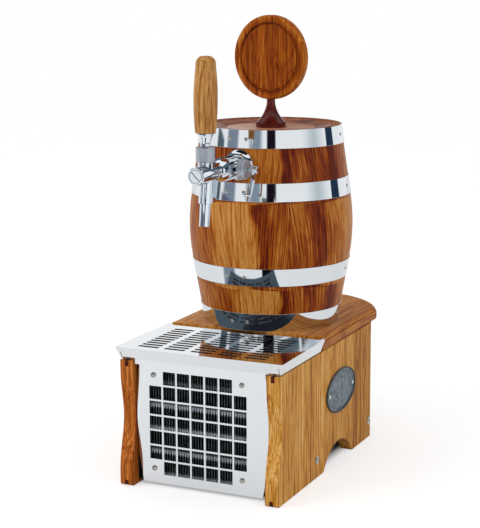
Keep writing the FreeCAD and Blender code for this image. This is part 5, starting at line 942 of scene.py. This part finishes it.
@dataclass
class Base(SubAssembly):
    """Oak carcass with its board, front plate, tray, badge and screws. Sizes in millimetres."""

    half_width: float = 132.5
    toe_y: float = -251.5  # front edges of the sides
    plate_y: float = -234.2  # face of the front plate
    plate_centre: tuple[float, float] = (-7.2, 102.6)
    plate_spacing: float = 148.0  # from screw to screw
    side_backs: tuple[float, float] = (153.0, 386.0)  # side screws, back from the toe
    side_z: float = 28.8

    WEARS: ClassVar[dict[str, tuple[str, ...]]] = {
        "right panel oak": ("side_panel_right",), "left panel oak": ("side_panel_left",),
        "wall oak": ("rear_wall",), "board oak": ("top_board",), "key hardwood": ("panel_keys",),
        "mirror sheet": ("front_plate", "drip_tray_cover"), "satin sheet": ("drip_pan",),
        "dark pewter": ("badge_plate",), "nickel rivet": ("badge_rivets",)}

    def plate_screws(self) -> None:
        """Models the four screws of the front plate, each turned as it was driven."""
        half = self.plate_spacing / 2
        cx, cz = self.plate_centre
        spots = [facing((cx + i * half, self.plate_y, cz + j * half), (0, -1, 0),
                        20 + 35 * i + 50 * j) for i in (-1, 1) for j in (-1, 1)]
        screws = copies(CrossedScrew(4.4, 2.4, 9.5).build(), spots, "plate_cross_screws")
        self.settle(screws, "bright screw", "screw_steel", "plate_screws")

    def side_screws(self) -> None:
        """Models the screws with washers in both side panels."""
        spots = [facing((side * self.half_width, self.toe_y + back, self.side_z), (side, 0, 0),
                        25 + back) for side in (-1, 1) for back in self.side_backs]
        model = CrossedScrew(4.4, 2.2, 25.0, washer=(7.0, 1.2)).build()
        screws = copies(model, spots, "side_cross_screws")
        self.settle(screws, "bright screw", "screw_steel", "side_screws")

    def build(self) -> None:
        """Models the screws."""
        self.plate_screws()
        self.side_screws()


@dataclass
class Barrel(SubAssembly):
    """Coopered barrel with its hoops, lid, foot and disc. Sizes in millimetres."""

    height: float = 318.4
    bottom: float = 109.7  # radius at the foot
    belly: float = 132.5  # largest radius
    top: float = 112.7  # radius at the top
    belly_height: float = 158.0
    bend: float = 310.0  # radius of the bilge
    wall: float = 15.0
    chime: float = 106.0  # radius of the rim that the lid lies in
    dish_depth: float = 5.6
    dish: float = 72.0  # radius at which the dish under the lid ends
    joint: float = 0.08  # degrees between staves
    hoop_thickness: float = 1.2
    hoop_height: float = 28.5
    hoop_lows: tuple[float, ...] = (289.9, 208.6, 74.4, 0.0)  # lower edges above the foot
    rivet_azimuths: tuple[float, ...] = (-9.2, 4.2, 95.0, 180.0, 265.0)
    rivet: float = 3.0  # radius
    bore: float = 8.3  # radius of the hole for the tap's shank

    WEARS: ClassVar[dict[str, tuple[str, ...]]] = {
        "floor oak": ("barrel_floor",), "lid oak": ("barrel_lid",),
        "foot mahogany": ("medallion_foot",), "disc oak": ("medallion_disc",)}

    def flank(self, end: float, end_height: float) -> tuple[float, float]:
        """Point where the bilge's arc meets a straight flank.

        Args:
            end: radius at the barrel's end.
            end_height: height of that end.

        Returns:
            Radius and height of the point.
        """
        rise = end_height - self.belly_height
        centre = self.belly - self.bend
        run = end - centre
        side = 1 if rise > 0 else -1
        angle = math.atan2(rise, run) - side * math.acos(self.bend / math.hypot(run, rise))
        return centre + self.bend * math.cos(angle), self.belly_height + self.bend * math.sin(angle)

    def radius(self, height: float) -> float:
        """Outer radius of the staves at a height above the barrel's foot.

        Args:
            height: height above the foot.

        Returns:
            The radius.
        """
        low_r, low_h = self.flank(self.bottom, 0)
        top_r, top_h = self.flank(self.top, self.height)
        if height < low_h:
            return self.bottom + (low_r - self.bottom) * height / low_h
        if height > top_h:
            return top_r + (self.top - top_r) * (height - top_h) / (self.height - top_h)
        rise = height - self.belly_height
        return self.belly - self.bend + math.sqrt(self.bend ** 2 - rise ** 2)

    def stave(self) -> Piece:
        """Models one stave as a slice of the turned wall, with its edges eased.

        Returns:
            The stave, with its foot level with the origin.
        """
        steps = 24
        heights = [self.height * i / steps for i in range(steps + 1)]
        inner = self.top - self.wall
        dish = self.height - self.dish_depth * (self.chime - inner) / (self.chime - self.dish)
        outline = [(self.radius(h), h) for h in heights]
        outline += [(self.chime, self.height), (inner, dish)]
        outline += [(self.radius(h) - self.wall, h) for h in reversed(heights[:-1])]
        stave = spun("stave", outline, 360 / STAVES - self.joint, 10)
        eased(stave, 0.45)
        return stave

    def ring_of_staves(self) -> None:
        """Copies the stave round the ring and bores the front one for the tap's shank."""
        start = -90 + FIRST_JOINT + self.joint / 2
        home = Matrix.Translation((0, BARREL_Y * MM, BARREL_FOOT * MM))
        spots = [home @ Matrix.Rotation(math.radians(start + i * 360 / STAVES), 4, "Z")
                 for i in range(STAVES)]
        staves = copies(self.stave(), spots, "oak_staves")
        clear_choice()
        bpy.ops.mesh.primitive_cylinder_add(
            vertices=48, radius=self.bore * MM, depth=4 * self.wall * MM,
            location=(0, (BARREL_Y - self.top) * MM, TAP_Z * MM), rotation=(math.radians(90), 0, 0))
        carved(staves, bpy.context.object)
        self.settle(staves, "barrel oak", "barrel_oak", "barrel_staves", angle=30)

    def hoops(self) -> None:
        """Turns the four conical hoops with softly rolled edges."""
        for number, low in enumerate(self.hoop_lows, 1):
            high = min(low + self.hoop_height, self.height)
            inner = [(self.radius(z), z + BARREL_FOOT) for z in (low, high)]
            outer = [(r + self.hoop_thickness, z) for r, z in inner]
            hoop = spun(f"mirror_hoop_{number}", [inner[0], *outer, inner[1], inner[0]], sides=192,
                        centre=(0.0, BARREL_Y))
            eased(hoop, 0.4, 3)
            self.settle(hoop, "hoop mirror", "hoop_steel", f"hoop_{number}", angle=40)

    def rivets(self) -> None:
        """Sets domed rivets with a thin rim round each hoop."""
        outline = [(0.0, -0.8), (self.rivet, -0.8), (self.rivet, 0.25)]
        outline += dome(self.rivet - 0.35, 0.9, 0.35)
        spots = []
        for low in self.hoop_lows:
            middle = low + self.hoop_height / 2
            radius = self.radius(middle) + self.hoop_thickness
            slope = (self.radius(low) - self.radius(low + self.hoop_height)) / self.hoop_height
            for turn in map(math.radians, self.rivet_azimuths):
                out = Vector((math.sin(turn), -math.cos(turn), 0))
                foot = out * radius + Vector((0, BARREL_Y, BARREL_FOOT + middle))
                spots.append(facing(foot, out + Vector((0, 0, slope))))
        rivets = copies(spun("rivet", outline, sides=24), spots, "domed_rivets")
        self.settle(rivets, "bright screw", "screw_steel", "hoop_rivets")

    def build(self) -> None:
        """Models the barrel from its wall outwards."""
        self.ring_of_staves()
        self.hoops()
        self.rivets()


@dataclass
class Tap(SubAssembly):
    """Compensator tap with its turned handle."""

    WEARS: ClassVar[dict[str, tuple[str, ...]]] = {
        "tap chrome": ("tap_shank", "shank_nut", "tap_rosette", "tap_body", "tap_front_cap",
                       "handle_lever", "valve_piston", "spout_nozzle", "compensator_lever"),
        "knurled collar": ("handle_collar",), "knurled nut": ("compensator_nut",),
        "handle oak": ("tap_handle",), "black rubber": ("valve_seal",),
        "valve plastic": ("compensator_cone",)}


@dataclass
class Cooling(SubAssembly):
    """Refrigeration unit, keg well and keg, and the controls at the rear."""

    WEARS: ClassVar[dict[str, tuple[str, ...]]] = {
        "black chassis": ("chassis_pan", "fan_shroud"), "fin coat": ("condenser_fins",),
        "drawn aluminium": ("condenser_tubes",), "motor paint": ("fan_motor",),
        "fan plastic": ("fan_rotor",), "compressor enamel": ("compressor",),
        "black rubber": ("compressor_mounts",), "bright screw": ("service_screws",),
        "drawn copper": ("refrigerant_lines", "filter_drier", "cooling_coil"),
        "satin sheet": ("service_panel", "keg_well"), "keg steel": ("mini_keg",),
        "control nylon": ("thermostat", "switch_housing", "mains_inlet"),
        "knob plastic": ("thermostat_knob", "switch_rocker"), "beer hose": ("beer_line",),
        "insulating foam": ("insulation",), "tap chrome": ("keg_coupler",)}


# ---------------------------------------------------------------- studio
@dataclass(frozen=True)
class FloorPaper(Finish):
    """White paper that keeps the object's shadow, with a painted shadow under the base, where its
    glow is taken away.
    """

    half: tuple[float, float] = (0.112, 0.155)  # half sizes of the painted shadow under the base, in metres
    ahead: float = 0.06  # how far its middle lies in front of the origin
    edge: tuple[float, float] = (0.93, 1.1)  # where it ends, in shares of its half sizes
    glow: float = 0.56  # of the paper, for the eye
    dimmer: float = 0.16  # how much less it glows for metal
    paper: tuple[float, float, float, float] = (0.6, 0.6, 0.6, 1.0)

    def shade(self, tree: Tree, surface: Node) -> None:
        """Lights the paper for the eye and for metal, leaves its shadow, and paints a shadow under
        the base.

        Args:
            tree: node tree of the material.
            surface: its surface shader.
        """
        parts = add(tree, "SeparateXYZ", (add(tree, "TexCoord", out=3),)).node.outputs
        reach = []
        for part, middle, half in zip(parts, (0.0, self.ahead), self.half):
            off = add(tree, "Math", (part, middle), operation="ADD")
            off = add(tree, "Math", (off,), operation="ABSOLUTE")
            reach.append(add(tree, "Math", (off, half), operation="DIVIDE"))
        far = add(tree, "Math", tuple(reach), operation="MAXIMUM")
        # Painted shadow: under the base the paper loses its glow, and only the lamps light it.
        clear = add(tree, "MapRange", {
            "Value": far, "From Min": self.edge[0], "From Max": self.edge[1]})
        glossy = add(tree, "LightPath").node.outputs["Is Glossy Ray"]
        glow = add(tree, "Math", (glossy, -self.dimmer, self.glow), operation="MULTIPLY_ADD")
        for share in (seen(tree), clear):
            glow = add(tree, "Math", (glow, share), operation="MULTIPLY")
        wire(surface, {
            "Base Color": self.paper, "Roughness": 0.9, "Specular IOR Level": 0.0,
            "Emission Color": linear("#FFFFFF"), "Emission Strength": glow})


@dataclass(frozen=True)
class CardCloth(Finish):
    """Lit cloth of a card, which fades into the white room at its two ends."""

    colour: str
    ends: tuple[float, float]  # azimuths in degrees
    feather: float  # width in degrees of each fading end

    def shade(self, tree: Tree, surface: Node) -> None:
        """Replaces the surface by an even glow.

        Args:
            tree: node tree of the material.
            surface: its surface shader; not used.
        """
        tone = linear(self.colour)
        if self.feather:
            angle, _ = azimuth(tree, self.millimetres(tree, (0, -BARREL_Y, 0)))
            off = add(tree, "Math", (angle, sum(self.ends) / 2), operation="SUBTRACT")
            off = add(tree, "Math", (off,), operation="ABSOLUTE")
            half = (self.ends[1] - self.ends[0]) / 2
            fade = add(tree, "MapRange", {
                "Value": off, "From Min": half - self.feather, "From Max": half + 0.01},
                interpolation_type="SMOOTHSTEP")
            tone = add(tree, "ValToRGB", (fade,), ((0.0, self.colour), (1.0, "#FFFFFF")))
        glow = add(tree, "Emission", {"Color": tone})
        wire(tree.nodes["Material Output"], {"Surface": glow})


@dataclass(frozen=True)
class Card:
    """Curved card that only metal mirrors, as dark cards beside a polished object."""

    name: str
    ends: tuple[float, float]  # azimuths in degrees from the front
    outline: Profile  # radius from the barrel's axis and height of its edges, in metres
    colour: str
    feather: float = 0.0  # width in degrees over which its two ends fade
    sides: int = 12

    def hang(self) -> None:
        """Models the card and keeps it from all but the mirrors' rays."""
        first, last = self.ends
        outline = [(r / MM, z / MM) for r, z in self.outline]
        card = spun(self.name, outline, last - first, self.sides, (0.0, BARREL_Y), first, False)
        cloth = self.name.capitalize().replace("_", " ") + " cloth"
        finish = CardCloth(cloth, self.colour, self.ends, self.feather)
        card.data.materials.append(finish.build())
        card.visible_camera = False
        card.visible_diffuse = False
        card.visible_shadow = False
        card.visible_transmission = False


# Radius and height, in metres, of the edges of a card that lies on the floor and climbs at its end.
NEAR = (0.62, 0.001)
FAR = (3.9, 0.002)
CARDS = (
    # Above: what the tray, the rosette and the tap's back mirror.
    Card("ceiling", (0, 360), ((2.3, 4.3), (0.01, 4.4)), "#1A1D22", sides=32),
    Card("upper_ring", (0, 360), ((4.5, 1.75), (4.55, 2.9)), "#55626B", sides=48),
    Card("high_front", (-75, 115), ((4.55, 2.9), (4.6, 4.1)), "#22262C", 8.0, sides=32),
    Card("high_rear", (115, 285), ((4.55, 2.9), (4.6, 4.1)), "#55626B", sides=32),
    # Close by, on the floor and behind: a band on the nozzle, and what darkens tap and barrel foot.
    Card("nozzle_mauve", (-50, 10), ((1.1, 0.45), (1.1, 0.525)), "#66647A", 5.0),
    Card("right_rug", (32, 71), ((2.3, 0.003), (3.9, 0.004)), "#56646C", 3.0),
    Card("side_black", (72, 125), ((2.4, 0.003), (4.4, 0.004)), "#15161C", 3.0),
    Card("back_slate", (-166, -154.5), ((4.0, 0.9), (4.0, 1.75)), "#4A5C66", 1.5),
    # Round the room: the upright stripes in the hoops.
    Card("left_slate", (-69, -52), ((3.9, 0.0), (3.9, 0.95)), "#58656F", 3.0),
    Card("left_grey", (-50, -26), (NEAR, FAR, (4.0, 1.9)), "#8591A0", 5.0),
    Card("centre_blue", (-13, 13), ((4.1, 0.9), (4.1, 1.9)), "#8C9AA9", 8.0),
    Card("tall_black", (16, 32), ((4.0, 0.95), (4.0, 1.9)), "#1A1420", 2.5),
    Card("low_black", (10, 29), (NEAR, FAR, (3.9, 0.95)), "#0B0D11", 2.0),
    Card("right_pale", (70, 118), ((4.1, 0.0), (4.1, 1.9)), "#C9D1D6", 26.0),
    Card("rear_blue", (118, 137), ((4.0, 0.0), (4.0, 1.9)), "#26384C", 1.5),
)


@dataclass
class Studio:
    """Camera, light, floor and the cards that polished metal mirrors."""

    eye: Spot = (0.96902, -2.18113, 0.77076)  # camera's place in metres
    azimuth: float = 24.909  # its azimuth in degrees
    pitch: float = 10.841  # how far it looks down
    roll: float = -0.279  # how far it is tilted
    focal_px: float = 1497.92  # focal length in pixels of the frame
    long_side_px: float = 528.0  # long side of the frame
    sensor_mm: float = 36.0
    room_light: float = 0.72  # strength of the room's light on matt surfaces
    floor_radius: float = 9.0  # in metres
    floor_drop: float = 0.0004  # how far it lies under the base's feet, which share no plane with it

    def camera(self) -> None:
        """Sets the camera at its place, aimed along its azimuth and pitch."""
        lens = bpy.data.cameras.new("front_camera")
        lens.sensor_width = self.sensor_mm
        lens.lens = self.focal_px * self.sensor_mm / self.long_side_px
        lens.clip_end = 60.0
        seat = bpy.data.objects.new("front_camera", lens)
        seat.matrix_world = Matrix.Translation(self.eye)
        for angle, axis in ((self.azimuth, "Z"), (90 - self.pitch, "X"), (self.roll, "Z")):
            seat.matrix_world = seat.matrix_world @ Matrix.Rotation(math.radians(angle), 4, axis)
        bpy.context.scene.collection.objects.link(seat)
        bpy.context.scene.camera = seat

    def world(self) -> None:
        """Makes the room white to the eye and to metal, and a plain soft light to the rest."""
        world = bpy.data.worlds.new("white_room")
        bpy.context.scene.world = world
        world.use_nodes = True
        tree = world.node_tree
        strength = add(tree, "Math", (seen(tree), 1.0 - self.room_light, self.room_light),
                       operation="MULTIPLY_ADD")
        wire(tree.nodes["Background"], {"Strength": strength, "Color": linear("#FFFFFF")})

    def lamp(self, name: str, place: Spot, aim: Spot, size: float, power: float) -> None:
        """Adds a softbox that metal doesn't mirror.

        Args:
            name: name of the lamp.
            place: where it hangs, in metres.
            aim: point that it faces.
            size: side of the softbox in metres.
            power: its power in watts.
        """
        light = bpy.data.lights.new(name, "AREA")
        light.size = size
        light.energy = power
        lamp = bpy.data.objects.new(name, light)
        lamp.location = place
        lamp.rotation_euler = (Vector(aim) - Vector(place)).to_track_quat("-Z", "Y").to_euler()
        lamp.visible_glossy = False
        lamp.visible_camera = False
        bpy.context.scene.collection.objects.link(lamp)

    def floor(self) -> None:
        """Lays the floor, just under the base's feet."""
        clear_choice()
        bpy.ops.mesh.primitive_circle_add(
            vertices=64, radius=self.floor_radius, fill_type="NGON",
            location=(0, 0, -self.floor_drop))
        floor = bpy.context.object
        floor.name = "studio_floor"
        floor.data.materials.append(FloorPaper("White paper").build())

    def build(self) -> None:
        """Sets up the studio."""
        bpy.context.scene.view_settings.view_transform = "Standard"
        self.camera()
        self.world()
        self.floor()
        self.lamp("left_softbox", (-1.7, -2.4, 2.0), (0, -0.1, 0.3), 1.6, 26.0)
        self.lamp("right_softbox", (2.6, -0.9, 1.6), (0, 0, 0.3), 1.4, 9.0)
        for card in CARDS:
            card.hang()


# ---------------------------------------------------------------- finishes of this dispenser
# Share of the width at which each board starts, against how light it is.
RIGHT_BOARDS = (
    (0.0, 0.72), (0.10, 0.52), (0.22, 0.66), (0.27, 0.44), (0.39, 0.60), (0.52, 0.50),
    (0.63, 0.64), (0.72, 0.48), (0.83, 0.22))
LEFT_BOARDS = ((0.0, 0.30), (0.13, 0.48), (0.3, 0.60), (0.47, 0.42), (0.62, 0.66), (0.8, 0.5))
# Share of the turn, from the rear over the left, against how light or how streaked it is there.
STAVE_TONES = (
    (0.0, 0.55), (0.25, 0.50), (0.317, 0.7), (0.442, 0.55), (0.452, 0.86), (0.537, 0.82),
    (0.546, 0.20), (0.562, 0.36), (0.582, 0.66), (0.597, 0.56), (0.606, 0.42), (0.628, 0.64),
    (0.647, 0.56), (0.660, 0.26), (0.680, 0.32), (0.694, 0.60), (0.736, 0.78), (0.806, 0.84),
    (1.0, 0.55))
STAVE_STREAKS = (
    (0.0, 0.4), (0.44, 0.4), (0.452, 0.22), (0.537, 0.22), (0.55, 0.5), (0.68, 0.48),
    (0.72, 0.35), (1.0, 0.4))
# Front edge and length of the boards of both side panels, in millimetres.
SIDE_SPAN = (-251.5, 372.0)


def make_finishes() -> dict[str, Finish]:
    """Names every finish that the dispenser uses.

    Returns:
        Finish by name.
    """
    return {
        # Oak boards glued edge to edge, sanded and oiled: soft sheen, and a tone for each board.
        "right panel oak": GluedOak(
            "Oiled oak, right panel", "#82480E", "#B67424", "#DEA048", "#F4C884",
            boards=RIGHT_BOARDS, span=SIDE_SPAN, streak=0.6, streak_mm=4.0, fine=0.2),
        "left panel oak": GluedOak(
            "Oiled oak, left panel", "#6E2E08", "#A65616", "#D37C34", "#EFAE6C",
            boards=LEFT_BOARDS, span=SIDE_SPAN, roughness=0.48, streak=0.5, streak_mm=4.0,
            shift=(300.0, 40.0, 90.0)),
        "wall oak": GluedOak(
            "Oiled oak, rear wall", "#7A4210", "#A86A22", "#CC9242", "#EABC78",
            boards=LEFT_BOARDS, span=(-132.5, 265.0), across=Grain.SIDEWAYS,
            shift=(90.0, 500.0, 10.0)),
        "board oak": GluedOak(
            "Oiled oak, top board", "#7C3604", "#AC6418", "#CE8836", "#ECB470", Grain.BACKWARD,
            boards=RIGHT_BOARDS, span=(-134.2, 268.4), across=Grain.SIDEWAYS, roughness=0.42,
            streak=0.5, streak_mm=4.0, shift=(20.0, 60.0, 400.0)),
        # Dense red-brown hardwood, planed flush: small dark squares with hardly any figure.
        "key hardwood": Wood(
            "Oiled merbau keys", "#2A0A06", "#431408", "#5C2010", "#7A3420", ring_mm=9.0,
            roughness=0.45),
        # Split oak staves under thin varnish: warm, with nearly black-red heartwood streaks.
        "barrel oak": CooperedOak(
            "Varnished oak staves", "#5A1600", "#8C3602", "#B46616", "#DCA052", ring_mm=26.0,
            rings=3.0, streak_mm=3.0, fine=0.2, varnish=0.05, roughness=0.4,
            round_tones=STAVE_TONES, round_streaks=STAVE_STREAKS),
        # Unfinished oak inside the barrel: dry and even.
        "floor oak": Wood("Bare oak floor", grain=Grain.SIDEWAYS, roughness=0.6),
        # Turned and varnished oak: pinkish flat with a soft gloss, and painted shade in its step.
        "lid oak": TurnedOak(
            "Varnished oak lid", "#3A1408", "#7A4020", "#C07A54", "#E0A888", Grain.SIDEWAYS,
            ring_mm=60.0, streak=0.3, varnish=0.3, roughness=0.4, centre=(0.0, BARREL_Y, 0.0),
            steps=((0.0, 0.78), (0.66, 0.78), (0.69, 0.42), (0.9, 0.6), (1.0, 0.8))),
        # Turned oak disc: painted shade in its groove and a painted highlight on its rounded rim.
        "disc oak": TurnedOak(
            "Varnished oak disc", "#561C00", "#823600", "#A65204", "#CC8434", ring_mm=34.0,
            streak=0.6, roughness=0.42, centre=(0.0, 0.0, 645.0), axis=Grain.BACKWARD,
            reach=66.8, shift=(15.0, 0.0, 120.0),
            steps=((0.0, 0.54), (0.79, 0.54), (0.815, 0.2), (0.85, 0.52), (0.94, 0.76),
                   (1.0, 0.78))),
        # Pale oak, turned and varnished: short streaks that the bulge cuts through.
        "handle oak": Wood(
            "Varnished oak handle", "#6E3E0C", "#A06828", "#CB9452", "#E8BA80", ring_mm=16.0,
            rings=2.4, streak_mm=3.4, streak=0.4, fine=0.1, varnish=0.2, roughness=0.4,
            shift=(210.0, 0.0, 30.0)),
        # Stained mahogany, turned and varnished: dark wine red with a clear gloss.
        "foot mahogany": Wood(
            "Varnished mahogany foot", "#1E0504", "#380A06", "#54120A", "#782418", ring_mm=12.0,
            varnish=0.5, roughness=0.34),
        # Stainless sheet, mirror polished: it shows the room, a little softened.
        "mirror sheet": MirrorSteel("Mirror stainless sheet", "#E4E7EA"),
        # The same, rolled into hoops: upright stripes of the room.
        "hoop mirror": MirrorSteel("Mirror stainless hoops", "#DDE2E6", haze=0.03),
        # Stainless sheet as rolled: satin grey with fine marks across.
        "satin sheet": BrushedSteel("Satin stainless sheet", "#BFC1C3", roughness=0.3),
        # Zinc plate on pressed heads: dull rims round a bright crown.
        "bright screw": MirrorSteel(
            "Bright zinc screws", "#B9B8B2", roughness=0.1, haze=0.1, marks_mm=1.0),
        # Nickel on small domed heads: pale, warm dots.
        "nickel rivet": MirrorSteel("Nickelled rivets", "#E6E6DC", roughness=0.25, haze=0.1),
        # Drawn steel can: satin, with marks that run up its side.
        "keg steel": BrushedSteel(
            "Satin keg steel", "#B4B6B8", roughness=0.28, grain=Grain.UPRIGHT),
        # Drawn tube: soft silver or copper glow, tarnished in patches.
        "drawn aluminium": BrushedSteel("Drawn aluminium tube", "#E2E5E7", "#C9CDD0", 0.3),
        "drawn copper": BrushedSteel("Drawn copper tube", "#C07850", "#8C5232", 0.3),
        # Chrome on polished brass: hard black and white reflections, and painted shade in its
        # grooves.
        "tap chrome": TapChrome("Polished tap chrome"),
        # Chrome on a rolled knurl: an even grey sparkle, with painted shade in the valleys and
        # painted glints on the crests.
        "knurled collar": KnurledChrome("Knurled collar chrome", (0.0, -213.5, 0.0)),
        "knurled nut": KnurledChrome(
            "Knurled nut chrome", (0.0, -141.5, TAP_Z), Grain.SIDEWAYS, 15.2),
        # Cast pewter with patina: blue-grey, with a nearly black rim.
        "dark pewter": Pewter("Antique pewter"),
        # Baked black paint on folded sheet: even satin with a slight orange peel.
        "black chassis": Coating("Black chassis paint", "#0B0B0C", "#121214", 0.5),
        "motor paint": Coating("Black motor paint", "#101012", "#1A1A1C"),
        # Thick enamel on a pressed shell: glossier, with slow waves.
        "compressor enamel": Coating(
            "Black compressor enamel", "#0A0A0B", "#151517", 0.28, texture_mm=3.0),
        # Black coated fins: deep black slots between thin bright edges, with painted highlights level
        # with the tubes.
        "fin coat": FinCoat("Black coated fins"),
        # Moulded plastics and rubber: dark, from gloss on the knob to dull on the rubber.
        "fan plastic": Coating("Grey moulded fan", "#1E2022", "#2A2C2E", 0.5),
        "black rubber": Coating("Black rubber", "#121212", "#1B1B1B", 0.75),
        "control nylon": Coating("Black moulded nylon", "#141416", "#1D1D1F", 0.5, texture_mm=0.6),
        "knob plastic": Coating("Black gloss knob", "#0E0E10", "#17171A", 0.25),
        "valve plastic": Coating("White acetal valve", "#D9D9D4", "#CFCFC8", 0.4),
        # Poured polyurethane foam: yellowish, dull and pitted.
        "insulating foam": Coating("Poured foam", "#D8C896", "#C4B27E", 0.9, 1.4, 0.4),
        # Food grade hose: milky and smooth.
        "beer hose": Coating("Milky beer hose", "#C9CEC8", "#BAC0B8", 0.25),
    }


def main() -> None:
    """Builds the studio and the dispenser's sub-assemblies in order."""
    logging.basicConfig(level=logging.INFO, format="%(message)s")
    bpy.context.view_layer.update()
    finishes = make_finishes()
    Studio().build()
    for kind in (Base, Barrel, Tap, Cooling):
        part = kind(finishes)
        part.build()
        part.dress()
        LOG.info("finished the %s", kind.__name__.lower())


if __name__ == "__main__":
    main()
